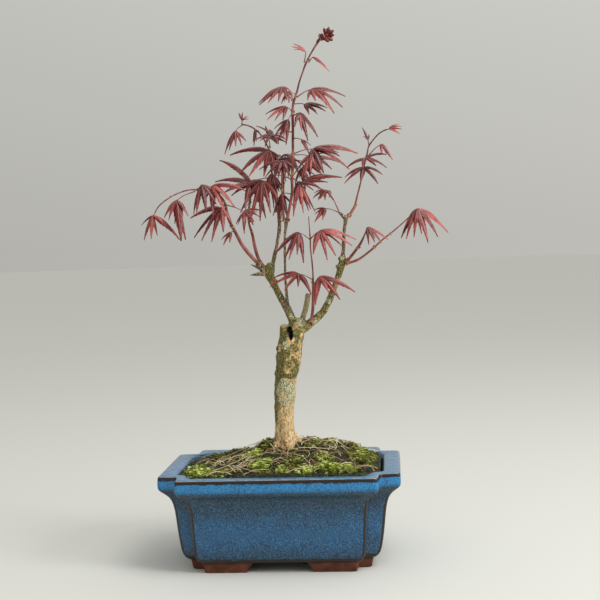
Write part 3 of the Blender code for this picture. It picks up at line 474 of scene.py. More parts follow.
def leaf_skin():
    # Maple leaf skin: thin and satiny, with a paler rib down each lobe and faint side veins that
    # run forward to the teeth.
    finish, tree, shader = new_finish("maroon_leaf_upper_skin", 0.36, Subsurface_Weight=0.1,
                                      Subsurface_Scale=0.0012, IOR=1.4)
    place = add(tree, "TexCoord").outputs["Object"]
    flat = add(tree, "SeparateXYZ", [(0, add(tree, "UVMap", uv_map="UVMap").outputs[0])])
    glow = add(tree, "Attribute", attribute_name="glow").outputs["Fac"]
    mottled = add(tree, "Math", [(0, grain(tree, place, 7.0, 3.0))], [(1, 0.9), (2, -0.45)],
                  operation="MULTIPLY_ADD")
    level = add(tree, "Math", [(0, glow), (1, mottled.outputs[0])], operation="ADD")
    base = ramp(tree, level.outputs[0], (0.1, "#230506"), (0.5, "#651a1b"), (0.9, "#aa5047"))
    off_rib = add(tree, "Math", [(0, flat.outputs[0])], [(1, 0.5)], operation="SUBTRACT")
    off_rib = add(tree, "Math", [(0, off_rib.outputs[0])], operation="ABSOLUTE").outputs[0]
    forward = add(tree, "Math", [(0, off_rib)], [(1, -0.35)], operation="MULTIPLY")
    veins = add(tree, "Math", [(0, forward.outputs[0]), (1, flat.outputs[1])], operation="ADD")
    veins = add(tree, "Math", [(0, veins.outputs[0])], [(1, VEINS * math.tau)], operation="MULTIPLY")
    veins = add(tree, "Math", [(0, veins.outputs[0])], operation="SINE")
    base = blend(tree, ramp(tree, veins.outputs[0], (0.86, 0.0), (1.0, 0.22)), base, RIB)
    base = blend(tree, ramp(tree, off_rib, (0.0, 0.8), (0.06, 0.0)), base, RIB)
    tree.links.new(base, shader.inputs["Base Color"])
    relief(tree, shader, veins.outputs[0], 0.05, 0.3)
    return finish


glaze = glazed_stoneware()
clay = bare_clay()
netting = netting_plastic()
soil_finish = bonsai_soil()
grit_finish = grit()
moss_finish = star_moss()
straw_finish = dry_straw()
bark = old_bark()
shoot_skin = young_bark()
leaf_face = leaf_skin()


# ---------------------------------------------------------------- pot
STEP_DEPTH = 0.92            # how square the corner steps are outside, and on top of the rim
RIM_DEPTHS = (STEP_DEPTH, 0.75, 0.55)   # how that fades over the rim's first rows
CHAMFER_DEPTH = 0.48         # inside, just off a straight chamfer
CORNER_POINTS = 7            # points round each rounded corner
CORNER_ROUNDING = 3.0
WARP = 0.12                  # how far firing has pulled the pot off level


def stepped_outline(half_x, half_y, step_x, step_y, depth):
    """A rectangle with stepped corners, and for each point how near it is to an outer corner."""
    corner = [(half_x, half_y - step_y),
              (half_x - depth * step_x, half_y - depth * step_y),
              (half_x - step_x, half_y)]
    corners = []
    for sign_x, sign_y in ((1, 1), (-1, 1), (-1, -1), (1, -1)):
        quadrant = [(Vector((x * sign_x, y * sign_y)), n != 1) for n, (x, y) in enumerate(corner)]
        corners += quadrant if sign_x == sign_y else quadrant[::-1]
    outline, sharp = [], []
    for i, (here, outer) in enumerate(corners):
        before = (corners[i - 1][0] - here).normalized() * CORNER_ROUNDING
        after = (corners[(i + 1) % len(corners)][0] - here).normalized() * CORNER_ROUNDING
        for k in range(CORNER_POINTS):
            t = k / (CORNER_POINTS - 1)
            outline.append(here + before * (1 - t) ** 2 + after * t ** 2)
            sharp.append((1 - abs(2 * t - 1)) * (1 if outer else -1))
    return outline, sharp


# height, half width, half depth, corner step in X and Y, glaze tone (low in the cove under the rim,
# which is painted shade, and falling towards the foot and down inside the rim), pale line, edge
# break, rim top (a painted reflection of the light from above), and how strongly the glaze breaks on
# the upright corners
GLAZED_WALL = (
    (8.9, 79.6, 59.2, 12.4, 14.0, 0.05, 0.0, 1.0, 0.0, 0.3),
    (9.4, 80.6, 60.0, 12.5, 14.0, 0.08, 0.0, 0.95, 0.0, 0.3),
    (11.0, 82.6, 61.0, 12.8, 14.5, 0.15, 0.0, 0.6, 0.0, 0.5),
    (13.5, 84.3, 61.7, 13.2, 15.0, 0.32, 0.0, 0.12, 0.0, 0.8),
    (17.0, 85.5, 62.2, 13.7, 15.3, 0.46, 0.0, 0.0, 0.0, 1.0),
    (22.0, 86.5, 62.5, 14.2, 15.7, 0.52, 0.0, 0.0, 0.0, 1.0),
    (29.0, 87.6, 62.8, 14.9, 16.1, 0.58, 0.0, 0.0, 0.0, 1.0),
    (36.0, 88.5, 63.1, 15.5, 16.6, 0.58, 0.0, 0.0, 0.0, 1.0),
    (44.0, 89.4, 63.6, 16.0, 17.2, 0.54, 0.0, 0.0, 0.0, 1.0),
    (51.0, 90.3, 64.2, 16.5, 17.8, 0.46, 0.0, 0.0, 0.0, 1.0),
    # from here up to 68.6 the low tone is painted shade in the cove under the rim
    (56.0, 91.4, 65.0, 16.8, 18.3, 0.36, 0.0, 0.0, 0.0, 1.0),
    (59.5, 92.6, 66.1, 17.1, 18.8, 0.27, 0.0, 0.0, 0.0, 0.9),
    (62.5, 94.3, 67.7, 17.4, 19.3, 0.2, 0.0, 0.0, 0.0, 0.8),
    (65.0, 96.6, 69.8, 17.8, 20.0, 0.15, 0.0, 0.0, 0.0, 0.5),
    (67.0, 98.9, 71.9, 18.1, 20.5, 0.14, 0.0, 0.0, 0.0, 0.3),
    (68.6, 100.8, 73.5, 18.3, 20.8, 0.2, 0.0, 0.0, 0.0, 0.2),
    (70.0, 102.0, 74.6, 18.5, 21.0, 0.42, 0.0, 0.0, 0.0, 0.2),
    (71.5, 102.7, 75.1, 18.5, 21.0, 0.72, 0.0, 0.0, 0.0, 0.2),
    (73.5, 103.0, 75.3, 18.5, 21.0, 0.9, 0.0, 0.0, 0.0, 0.2),
    (76.5, 103.0, 75.3, 18.5, 21.0, 0.95, 0.0, 0.0, 0.0, 0.2),
    (78.8, 102.8, 75.1, 18.5, 21.0, 0.85, 0.0, 0.4, 0.0, 0.3),
    (79.9, 102.7, 75.0, 18.5, 21.0, 0.6, 0.0, 1.0, 0.0, 0.3),
    (80.6, 102.5, 74.9, 18.5, 21.0, 0.5, 0.1, 1.0, 0.0, 0.3),
    (81.2, 102.2, 74.6, 18.5, 21.0, 0.5, 0.6, 0.8, 0.3, 0.0),
    (81.7, 101.7, 74.1, 18.5, 21.0, 0.6, 0.35, 0.0, 0.8, 0.0),
    (81.95, 100.9, 73.4, 18.5, 21.0, 0.7, 0.0, 0.0, 1.0, 0.0),
)
RIM_AND_INSIDE = (
    (82.0, 97.5, 70.0, 18.4, 21.0, 0.7, 0.0, 0.0, 1.0, 0.0),
    (81.9, 93.0, 65.5, 18.2, 21.0, 0.7, 0.0, 0.0, 1.0, 0.0),
    (81.6, 90.2, 62.7, 18.0, 21.0, 0.7, 0.0, 0.0, 1.0, 0.0),
    (81.2, 89.0, 61.5, 18.0, 21.0, 0.6, 0.1, 0.2, 0.8, 0.0),
    (80.4, 88.0, 60.5, 18.0, 21.0, 0.5, 0.0, 0.45, 0.2, 0.0),
    (77.0, 87.0, 59.6, 18.4, 21.4, 0.3, 0.0, 0.2, 0.0, 0.0),
    (62.0, 84.5, 57.5, 22.0, 24.0, 0.2, 0.0, 0.0, 0.0, 0.0),
    (35.0, 81.0, 55.5, 24.0, 26.0, 0.2, 0.0, 0.0, 0.0, 0.0),
    (16.0, 76.5, 53.0, 24.0, 26.0, 0.2, 0.0, 0.0, 0.0, 0.0),
)
DRAIN_X = 38.0               # the drain holes' distance from the pot's centre
DRAIN_RADIUS = 8.0
FLOOR_MIDDLE = 14.0          # height of the middle of the pot's floor
GLAZE_STOPS = 9.6            # the feet show bare clay below this height
WORN_EDGE = 0.7              # how far the feet's edges are worn back


def glazed_body():
    """Throws the pot's wall, rim and inside in one skin, and cuts its drain holes."""
    rings = []
    marks = {mark: [] for mark in GLAZE_MARKS}
    wall_depths = [STEP_DEPTH] * len(GLAZED_WALL)
    inner_depths = [*RIM_DEPTHS, *[CHAMFER_DEPTH] * (len(RIM_AND_INSIDE) - len(RIM_DEPTHS))]
    for row, depth in zip(GLAZED_WALL + RIM_AND_INSIDE, wall_depths + inner_depths):
        height, *outline_sizes = row[:5]
        tone_and_shade, pale, broken, top, corner = row[5:]
        outline, sharp = stepped_outline(*outline_sizes, depth)
        rings.append([spot(p.x, p.y, height + WARP * math.sin(p.x / 31 + p.y / 17)) for p in outline])
        marks["tone_and_shade"].append([tone_and_shade - 0.25 * max(0.0, -s) * corner for s in sharp])
        marks["pale_line"].append([pale for _ in sharp])
        marks["edge_break"].append([max(broken, corner * min(1.0, 1.8 * max(0.0, s))) for s in sharp])
        marks["rim_top_reflection"].append([top for _ in sharp])
    body = loft(rings, marks)
    for side in (-1, 1):
        clear_selection()
        bpy.ops.mesh.primitive_cylinder_add(vertices=40, radius=DRAIN_RADIUS * MM, depth=30 * MM,
                                            location=spot(side * DRAIN_X, 0, FLOOR_MIDDLE))
        cutter = bpy.context.object
        finish_with(body, "BOOLEAN", operation="DIFFERENCE", object=cutter, solver="EXACT")
        bpy.data.objects.remove(cutter)
    smooth(body, 50)
    return settle(body, "glazed_pot", [glaze], "blue_glaze", "pot")


def clay_feet():
    """The bare feet: what the CAD pot has below the glaze line, on its own, with worn edges."""
    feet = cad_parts["pot"].copy()
    feet.data = feet.data.copy()
    bpy.context.scene.collection.objects.link(feet)
    feet.hide_render = False
    feet.hide_viewport = False
    hold(feet)
    bpy.ops.object.mode_set(mode="EDIT")
    bpy.ops.mesh.select_all(action="SELECT")
    bpy.ops.mesh.remove_doubles(threshold=1e-6)
    bpy.ops.mesh.bisect(plane_co=(0, 0, GLAZE_STOPS * MM), plane_no=(0, 0, 1), clear_outer=True,
                        use_fill=True)
    bpy.ops.mesh.select_all(action="SELECT")
    bpy.ops.mesh.tris_convert_to_quads()
    bpy.ops.object.mode_set(mode="OBJECT")
    for key in list(feet.keys()):
        del feet[key]
    finish_with(feet, "BEVEL", width=WORN_EDGE * MM, segments=2, limit_method="ANGLE",
                angle_limit=math.radians(40))
    smooth(feet, 35)
    return settle(feet, "bare_clay_feet", [clay], "blue_glaze")


glazed_body()
clay_feet()
for side in ("left", "right"):
    mesh_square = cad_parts[f"drainage_mesh_{side}"]
    mesh_square.data.materials.clear()
    mesh_square.data.materials.append(netting)


# ---------------------------------------------------------------- soil
MOUND = (16.0, 8.0)          # where the root pad is highest
MOUND_SPREAD = (58.0, 48.0)
MOUND_RISE = 20.0
SOIL_EDGE = 79.3             # height of the soil away from its mound
CLUMP = (-14.0, 2.0)         # an old moss clump left of the trunk
CLUMP_SPREAD = 9.0
CLUMP_RISE = 3.6
SHORE = (86.0, 58.6, 19.0, 22.0)    # half width, half depth and corner cut of the soil's outline
SHORE_STEP = 2.2             # between points of that outline
MOUND_RINGS = 58             # rings of points from the outline to the top of the mound
EDGE_SINK = 2.6              # how far the soil has shrunk down at the pot's wall
GRANULES = 620


def lie_of_the_soil(x, y):
    """Height of the soil at a place."""
    along = abs(x - MOUND[0]) / MOUND_SPREAD[0]
    across = abs(y - MOUND[1]) / MOUND_SPREAD[1]
    mound = MOUND_RISE * math.exp(-along ** 2.6 - across ** 2.4)
    place = Vector((x, y, 0.0))
    lumps = 1.7 * noise.noise(place / 13) + 1.1 * noise.noise(place / 5.0) + 0.5 * noise.noise(place / 2.1)
    clump = CLUMP_RISE * math.exp(-((x - CLUMP[0]) ** 2 + (y - CLUMP[1]) ** 2) / CLUMP_SPREAD ** 2)
    return SOIL_EDGE + mound + lumps + clump


def inside_rim(x, y, margin):
    """Whether a place on the soil is at least margin inside its outline."""
    half_x, half_y, cut_x, cut_y = SHORE
    off_x = half_x - margin - abs(x)
    off_y = half_y - margin - abs(y)
    return off_x > 0 and off_y > 0 and off_x / cut_x + off_y / cut_y > 1


def soil_bed():
    """The soil, from the pot's floor up to its mounded top."""
    half_x, half_y, cut_x, cut_y = SHORE
    corners = [(half_x, half_y - cut_y), (half_x - cut_x, half_y)]
    corners += [(-x, y) for x, y in corners[::-1]]
    corners += [(-x, -y) for x, y in corners]
    outline = []
    for start, end in zip(corners, corners[1:] + corners[:1]):
        start, end = Vector(start), Vector(end)
        count = max(4, round((end - start).length / SHORE_STEP))
        outline += [start.lerp(end, k / count) for k in range(count)]
    rings = []
    for height, share in ((16.6, 0.86), (35.0, 0.925), (62.0, 0.965), (74.0, 0.985)):
        rings.append([spot(p.x * share, p.y * share, height) for p in outline])
    middle = Vector(MOUND)
    for n in range(MOUND_RINGS):
        share = 1 - n / MOUND_RINGS
        ring = []
        for p in outline:
            here = middle + (p - middle) * share
            sink = EDGE_SINK * max(0.0, 1 - n / 3) ** 2
            ring.append(spot(here.x, here.y, lie_of_the_soil(here.x, here.y) - sink))
        rings.append(ring)
    bed = loft(rings)
    smooth(bed)
    return settle(bed, "soil_bed", [soil_finish], "bonsai_soil", "soil")


soil_bed()


def scatter(template, name, finishes, slot, places, marks=None, nodes=()):
    """Sets many copies of one small shape, each with its own turn and size, and joins them.

    places holds a matrix for each copy, and marks its number for each mark's name.
    """
    marks = marks or {}
    bm = bmesh.new()
    layers = {mark: bm.verts.layers.float.new(mark) for mark in marks}
    for n, matrix in enumerate(places):
        first = len(bm.verts)
        bm.from_mesh(template.data)
        bm.verts.ensure_lookup_table()
        fresh = bm.verts[first:]
        bmesh.ops.transform(bm, matrix=matrix, verts=fresh)
        for mark in marks:
            layer = bm.verts.layers.float[mark]
            for vert in fresh:
                vert[layer] = marks[mark][n]
    mesh = bpy.data.meshes.new(name)
    bm.to_mesh(mesh)
    bm.free()
    piece = bpy.data.objects.new(name, mesh)
    bpy.context.scene.collection.objects.link(piece)
    smooth(piece, 40)
    return settle(piece, name, finishes, slot, *nodes)


def stand(x, y, z, size, lean=0.0, turn=0.0, tip=0.0):
    """Where a copy stands: its place in the pot's frame, its size in mm, and how it leans."""
    from_spot = Matrix.Translation(spot(x, y, z))
    turned = Matrix.Rotation(turn, 4, "Z") @ Matrix.Rotation(lean, 4, "X") @ Matrix.Rotation(tip, 4, "Z")
    if not isinstance(size, tuple):
        size = (size, size, size)
    sized = Matrix.Diagonal((size[0] * MM, size[1] * MM, size[2] * MM, 1.0))
    return from_spot @ turned @ sized


def granule():
    """A crushed clay granule about 1 across."""
    clear_selection()
    bpy.ops.mesh.primitive_ico_sphere_add(subdivisions=1, radius=0.5)
    lump = bpy.context.object
    for vert in lump.data.vertices:
        vert.co *= 1 + 0.5 * noise.noise(vert.co * 2.3)
    finish_with(lump, "BEVEL", width=0.06, segments=1)
    return lump


def anywhere_in_pot():
    return chance.uniform(-86, 86), chance.uniform(-58, 58)


def grit_over_soil():
    """Loose granules lying over the soil."""
    lump = granule()
    places = []
    while len(places) < GRANULES:
        x, y = anywhere_in_pot()
        if not inside_rim(x, y, 1.2):
            continue
        size = chance.uniform(0.9, 3.0)
        places.append(stand(x, y, lie_of_the_soil(x, y) + 0.1 * size,
                            (size, size * chance.uniform(0.7, 1.0), size * chance.uniform(0.6, 0.9)),
                            chance.uniform(-0.6, 0.6), chance.uniform(0, math.tau)))
    scatter(lump, "clay_grit", [grit_finish], "bonsai_soil", places)
    bpy.data.objects.remove(lump)


grit_over_soil()


# ---------------------------------------------------------------- moss
# centre, half length, half depth, how many stars, how lime they are, and the CAD cushion
MOSS_PATCHES = (
    ((-70.0, -40.0), 16.0, 13.0, 170, 0.68, "moss_front_left"),
    ((-52.0, 26.0), 22.0, 16.0, 150, 0.42, "moss_back_left"),
    ((-16.0, -38.0), 10.0, 9.0, 90, 0.78, "moss_front_middle"),
    ((50.0, -46.0), 20.0, 8.0, 200, 0.72, "moss_front_right"),
    ((70.0, -8.0), 12.0, 20.0, 200, 0.62, "moss_right"),
)
CARPET_SPRIGS = 2300         # small sprigs all over the soil
MOSS_MARGIN = 1.5            # how far moss keeps from the soil's outline
LIME_TUFTS = (               # small bright tufts: centre, radius, how many stars, how lime they are
    ((-14.0, 2.0), 8.0, 110, 0.34), ((-12.0, -6.0), 5.0, 40, 0.42),
    ((-27.0, -10.0), 8.0, 70, 0.88), ((-22.0, -16.0), 5.0, 30, 0.8), ((23.0, -50.0), 8.0, 60, 0.85),
    ((2.0, -47.0), 6.0, 30, 0.7), ((-48.0, -44.0), 9.0, 45, 0.5), ((46.0, 22.0), 12.0, 60, 0.5),
    ((-74.0, -14.0), 9.0, 60, 0.62), ((10.0, 36.0), 16.0, 80, 0.5), ((-20.0, 44.0), 12.0, 60, 0.6),
    ((38.0, -30.0), 9.0, 70, 0.6), ((12.0, -36.0), 8.0, 50, 0.55), ((28.0, -4.0), 9.0, 60, 0.45),
    ((62.0, 36.0), 12.0, 70, 0.55),
)


def moss_star(leaves, whorls):
    """One moss shoot, 1 tall: whorls of narrow pointed leaves on a stalk."""
    clear_selection()
    bpy.ops.mesh.primitive_cone_add(vertices=3, radius1=0.035, radius2=0.02, depth=0.8, location=(0, 0, 0.4))
    pieces = [bpy.context.object]
    for whorl in range(whorls):
        level = 0.35 + 0.55 * whorl / max(1, whorls - 1)
        for k in range(leaves):
            turn = math.tau * (k + 0.5 * whorl) / leaves
            length = 0.52 - 0.22 * whorl / max(1, whorls - 1)
            clear_selection()
            bpy.ops.mesh.primitive_grid_add(x_subdivisions=1, y_subdivisions=2, size=1.0)
            blade = bpy.context.object
            for vert in blade.data.vertices:
                along = vert.co.y + 0.5
                width = (0.55, 1.0, 0.05)[round(along * 2)] * 0.075
                reach = 0.02 + length * along
                rise = level + (0.5 + 0.5 * whorl) * length * along - 0.25 * along ** 2
                vert.co = (math.cos(turn) * reach - math.sin(turn) * width * vert.co.x * 2,
                           math.sin(turn) * reach + math.cos(turn) * width * vert.co.x * 2, rise)
            pieces.append(blade)
    return join(pieces)


def anywhere_round(centre, half_x, half_y):
    """A random place in an ellipse, and how far out it is, from 0 to 1."""
    angle, reach = chance.uniform(0, math.tau), math.sqrt(chance.random())
    return (centre[0] + half_x * reach * math.cos(angle), centre[1] + half_y * reach * math.sin(angle),
            reach)


def planted(x, y, height, shortest, tallest, most_lean=0.6):
    """Where a moss shoot of random size and lean stands, its foot at a height."""
    return stand(x, y, height, chance.uniform(shortest, tallest), chance.uniform(0, most_lean),
                 chance.uniform(0, math.tau), chance.uniform(0, 6))


def unit(value):
    """A value held between 0 and 1."""
    return min(1.0, max(0.0, value))


def moss():
    """Stars of moss on its cushions and in bright tufts, and a thin carpet of sprigs between them."""
    star = moss_star(6, 3)
    sprig = moss_star(4, 2)
    for centre, half_x, half_y, count, lime, node in MOSS_PATCHES:
        places, fresh = [], []
        while len(places) < count:
            x, y, reach = anywhere_round(centre, half_x, half_y)
            if not inside_rim(x, y, MOSS_MARGIN):
                continue
            dome = 2.6 * (1 - reach ** 2)
            places.append(planted(x, y, lie_of_the_soil(x, y) - 1.0 + dome, 3.6, 6.4))
            fresh.append(unit(lime + chance.gauss(0, 0.14) - 0.12 * reach))
        scatter(star, f"star_{node}", [moss_finish], "cushion_moss", places, {"fresh": fresh}, (node,))
    places, fresh = [], []
    for centre, radius, count, lime in LIME_TUFTS:
        for _ in range(count):
            x, y, reach = anywhere_round(centre, radius, radius)
            if inside_rim(x, y, MOSS_MARGIN):
                dome = 1.6 * (1 - reach)
                places.append(planted(x, y, lie_of_the_soil(x, y) - 0.6 + dome, 3.2, 5.6))
                fresh.append(unit(lime + chance.gauss(0, 0.14)))
    scatter(star, "bright_moss_tufts", [moss_finish], "cushion_moss", places, {"fresh": fresh})
    places, fresh = [], []
    while len(places) < CARPET_SPRIGS:
        x, y = anywhere_in_pot()
        if not inside_rim(x, y, MOSS_MARGIN):
            continue
        if noise.noise(Vector((x, y, 5.0)) / 16) < chance.uniform(-0.6, 0.1):
            continue
        places.append(planted(x, y, lie_of_the_soil(x, y) - 0.8, 2.6, 4.8, 0.9))
        fresh.append(unit(0.3 + 0.9 * noise.noise(Vector((x, y, 0.0)) / 11) + chance.gauss(0, 0.1)))
    scatter(sprig, "olive_moss_carpet", [moss_finish], "cushion_moss", places, {"fresh": fresh})
    for shape in (star, sprig):
        bpy.data.objects.remove(shape)


moss()


# ---------------------------------------------------------------- straw, roots and dead stalks
STRAW_SIDES = 5
STRAW_LENGTHS = 9            # short lengths that a stalk is bent at
STALKS = 290
# the listed ones: points of x, y, height over the soil, then thickness and age
LAID_STALKS = (
    (((6, -16, 1.0), (18, -18, 3.2), (32, -18, 3.4), (44, -17, 3.6), (48, -14, 7.0), (49, -12, 9.0)), 0.55, 0.08),
    (((-82, -48, 0.6), (-66, -46, 2.4), (-50, -43, 2.6), (-34, -38, 3.0), (-20, -34, 1.4)), 0.75, 0.3),
    (((-76, -44, 1.0), (-58, -38, 3.2), (-40, -26, 3.4), (-24, -14, 2.8)), 0.55, 0.2),
    (((-10, -12, 6.0), (-7, -15, 4.5), (-6, -18, 1.8), (-8, -21, 0.2)), 0.55, 0.05),
    (((12, -26, 2.6), (20, -34, 4.0), (27, -42, 2.0)), 0.5, 0.15),
    (((32, -32, 4.2), (39, -38, 3.2), (45, -44, 1.6)), 0.6, 0.05),
    (((-44, -36, 4.4), (-40, -41, 3.0), (-36, -46, 1.0)), 0.7, 0.02),
    (((-60, 6, 3.6), (-40, 2, 5.0), (-22, -2, 7.0), (-8, -6, 6.0)), 0.5, 0.35),
    (((-30, -24, 2.8), (-14, -24, 4.6), (2, -26, 3.2), (14, -24, 2.0)), 0.6, 0.45),
    (((24, -10, 3.4), (34, -22, 3.6), (50, -30, 3.0), (62, -34, 2.0)), 0.5, 0.3),
    (((52, -8, 4.6), (60, -16, 4.0), (72, -20, 3.0), (78, -22, 2.0)), 0.45, 0.25),
    (((60, -26, 3.0), (64, -34, 3.4), (66, -42, 1.6)), 0.5, 0.4),
)


def stalk_shape():
    """A straight stalk, 1 long and 1 across, cut into short lengths so that it can be bent."""
    clear_selection()
    bpy.ops.mesh.primitive_cylinder_add(vertices=STRAW_SIDES, radius=0.5, depth=1.0, end_fill_type="NGON",
                                        location=(0, 0, 0.5))
    stalk = bpy.context.object
    bpy.ops.object.mode_set(mode="EDIT")
    for cut in range(1, STRAW_LENGTHS):
        bpy.ops.mesh.select_all(action="SELECT")
        bpy.ops.mesh.bisect(plane_co=(0, 0, cut / STRAW_LENGTHS), plane_no=(0, 0, 1))
    bpy.ops.object.mode_set(mode="OBJECT")
    stalk.data.transform(stalk.matrix_world)
    stalk.matrix_world = Matrix.Identity(4)
    return stalk


def bent_stalk(shape, route, thickness):
    """A copy of the stalk laid along a route, thinner towards its far end."""
    fine = finer([(*p, thickness) for p in route], 0.8)
    stalk = bpy.data.objects.new("stalk", shape.data.copy())
    bpy.context.scene.collection.objects.link(stalk)
    for vert in stalk.data.vertices:
        at = unit(vert.co.z) * (len(fine) - 1)
        n = min(int(at), len(fine) - 2)
        point = fine[n].lerp(fine[n + 1], at - n)
        ahead = (fine[n + 1] - fine[n]).xyz.normalized()
        across = ahead.cross(Vector((0.0, 0.0, 1.0))).normalized()
        over = across.cross(ahead)
        narrow = thickness * (1 - 0.45 * vert.co.z)
        vert.co = spot(*(point.xyz + narrow * (vert.co.x * across + vert.co.y * over)))
    return stalk


def straw():
    """Dead stalks and fine roots over the soil: the listed ones, then many at random."""
    shape = stalk_shape()
    stalks, ages = [], []
    for route, thickness, age in LAID_STALKS:
        lie = [(x, y, lie_of_the_soil(x, y) + over) for x, y, over in route]
        stalks.append(bent_stalk(shape, lie, thickness))
        ages.append(age)
    while len(stalks) < STALKS:
        x, y = chance.uniform(-84, 84), chance.uniform(-56, 56)
        heading = chance.gauss(0.15, 0.7) + (math.pi if chance.random() < 0.5 else 0)
        length = chance.uniform(5, 26)
        curl = chance.gauss(0, 0.5)
        lift = chance.uniform(0.2, 1.4)
        route = []
        for k in range(6):
            t = k / 5
            turn = heading + curl * t
            at_x, at_y = x + length * t * math.cos(turn), y + length * t * math.sin(turn) * 0.8
            route.append((at_x, at_y, lie_of_the_soil(at_x, at_y) + 0.8 + lift * 3 * math.sin(math.pi * t)
                          + chance.uniform(0, 0.9)))
        if all(inside_rim(p[0], p[1], 0.8) for p in route):
            stalks.append(bent_stalk(shape, route, chance.uniform(0.28, 0.75)))
            ages.append(unit(chance.gauss(0.45, 0.28)))
    for stalk, age in zip(stalks, ages):
        paint(stalk, "age", [age] * len(stalk.data.vertices))
    bpy.data.objects.remove(shape)
    litter = join(stalks)
    smooth(litter, 60)
    return settle(litter, "dry_stalks_and_roots", [straw_finish], "cushion_moss")


straw()


# ---------------------------------------------------------------- old wood
# each run of wood as points of x, y, z and radius
TRUNK_AXIS = (
    (2.0, 0.0, 68.0, 13.0), (2.0, 0.0, 84.0, 12.6), (2.2, 0.0, 94.0, 11.2), (2.6, 0.0, 102.0, 9.4),
    (2.3, 0.0, 112.0, 8.2), (2.1, 0.0, 123.0, 7.9), (2.7, 0.0, 136.0, 8.2), (4.0, 0.0, 150.0, 8.7),
    (5.2, 0.0, 161.0, 9.1), (7.4, 0.0, 171.0, 10.1), (8.4, 0.0, 181.0, 10.4), (10.2, 0.0, 190.0, 10.0),
    (13.8, 0.0, 198.0, 8.6), (17.0, 0.0, 204.0, 6.6),
)
PRUNING_STUB = ((6.4, -1.0, 186.0, 4.6), (5.2, -1.5, 195.0, 4.7), (5.0, -2.0, 201.5, 4.0))
CUT_BRANCH = (
    (19.0, 1.0, 200.0, 3.4), (21.5, 1.6, 210.0, 2.5), (24.6, 2.2, 220.0, 2.6), (27.0, 2.8, 231.0, 2.4),
)
LEFT_LIMB = (
    (11.5, 0.0, 197.0, 4.6), (12.4, 0.0, 206.0, 3.6), (8.2, -0.5, 218.0, 3.6), (2.8, -1.0, 228.0, 3.1),
    (-1.0, -1.5, 236.0, 3.0), (-3.6, -2.0, 242.5, 3.4), (-6.4, -2.0, 248.0, 4.0), (-6.6, -2.0, 253.0, 4.2),
    (-6.0, -1.5, 257.0, 3.2),
)
RIGHT_LIMB = (
    (17.0, 0.0, 199.0, 5.4), (26.0, 0.5, 204.0, 4.2), (33.0, 1.0, 209.0, 3.6), (39.0, 1.5, 214.5, 3.1),
    (43.3, 2.0, 221.0, 3.0), (46.8, 2.5, 228.5, 2.9), (49.5, 3.0, 235.0, 2.7), (51.7, 3.0, 240.5, 2.6),
    (54.0, 3.5, 247.0, 2.8), (56.0, 4.0, 253.5, 3.3), (58.0, 4.2, 259.0, 3.0),
)
GREY_BRANCH = (
    (57.6, 4.2, 256.0, 2.2), (58.0, 4.5, 264.0, 1.8), (58.8, 5.0, 271.0, 1.6), (59.7, 5.5, 283.0, 1.6),
    (61.0, 6.0, 292.0, 1.7), (61.6, 6.0, 297.0, 2.4),
)
LEAF_SPUR = ((61.0, 6.0, 295.5, 1.7), (58.6, 5.0, 298.6, 1.5), (56.2, 4.0, 301.0, 1.1))
BROWN_BRANCH = (
    (-4.6, -1.5, 251.0, 2.6), (-3.3, 0.0, 259.0, 1.9), (-0.5, 2.0, 270.0, 1.7), (1.3, 4.0, 279.0, 1.5),
    (2.8, 6.0, 288.0, 1.9), (3.0, 8.0, 296.0, 1.8), (3.3, 9.0, 302.5, 2.5),
)
THIN_BRANCH = (
    (9.6, -1.0, 213.0, 2.0), (8.5, -3.6, 226.0, 1.5), (8.0, -5.0, 238.0, 1.3), (7.7, -6.0, 250.0, 1.2),
    (8.6, -8.0, 279.5, 1.25), (9.6, -8.6, 288.0, 1.4), (10.4, -9.0, 293.5, 1.9),
)
DEAD_TWIG = (
    (-7.0, -2.0, 249.6, 2.3), (-15.0, -3.0, 249.6, 1.8), (-20.0, -3.5, 249.2, 1.2), (-23.5, -4.0, 249.0, 0.6),
)
DEAD_SPUR = (
    (-8.0, -1.5, 250.5, 2.2), (-12.0, -2.2, 252.6, 1.8), (-17.0, -3.4, 255.4, 0.9), (-22.5, -5.0, 258.4, 0.5),
)
ROOTS = (                    # the flare at the trunk's foot
    ((-2.0, -2.0, 108.0, 3.0), (-4.4, -4.0, 101.0, 3.2), (-7.0, -5.5, 95.0, 3.2), (-12.0, -8.0, 87.0, 2.4)),
    ((6.0, -3.0, 106.0, 3.0), (8.4, -4.6, 99.0, 3.2), (10.6, -6.0, 93.5, 3.0), (16.0, -9.0, 86.0, 2.2)),
    ((2.0, -6.0, 102.0, 2.6), (1.6, -8.6, 95.0, 2.8), (1.0, -12.0, 86.0, 2.2)),
    ((-2.0, 5.0, 108.0, 4.0), (-6.0, 10.0, 98.0, 4.0), (-10.0, 15.0, 88.0, 2.6)),
    ((7.0, 5.0, 108.0, 4.0), (12.0, 9.0, 99.0, 4.2), (17.0, 14.0, 90.0, 2.8)),
)
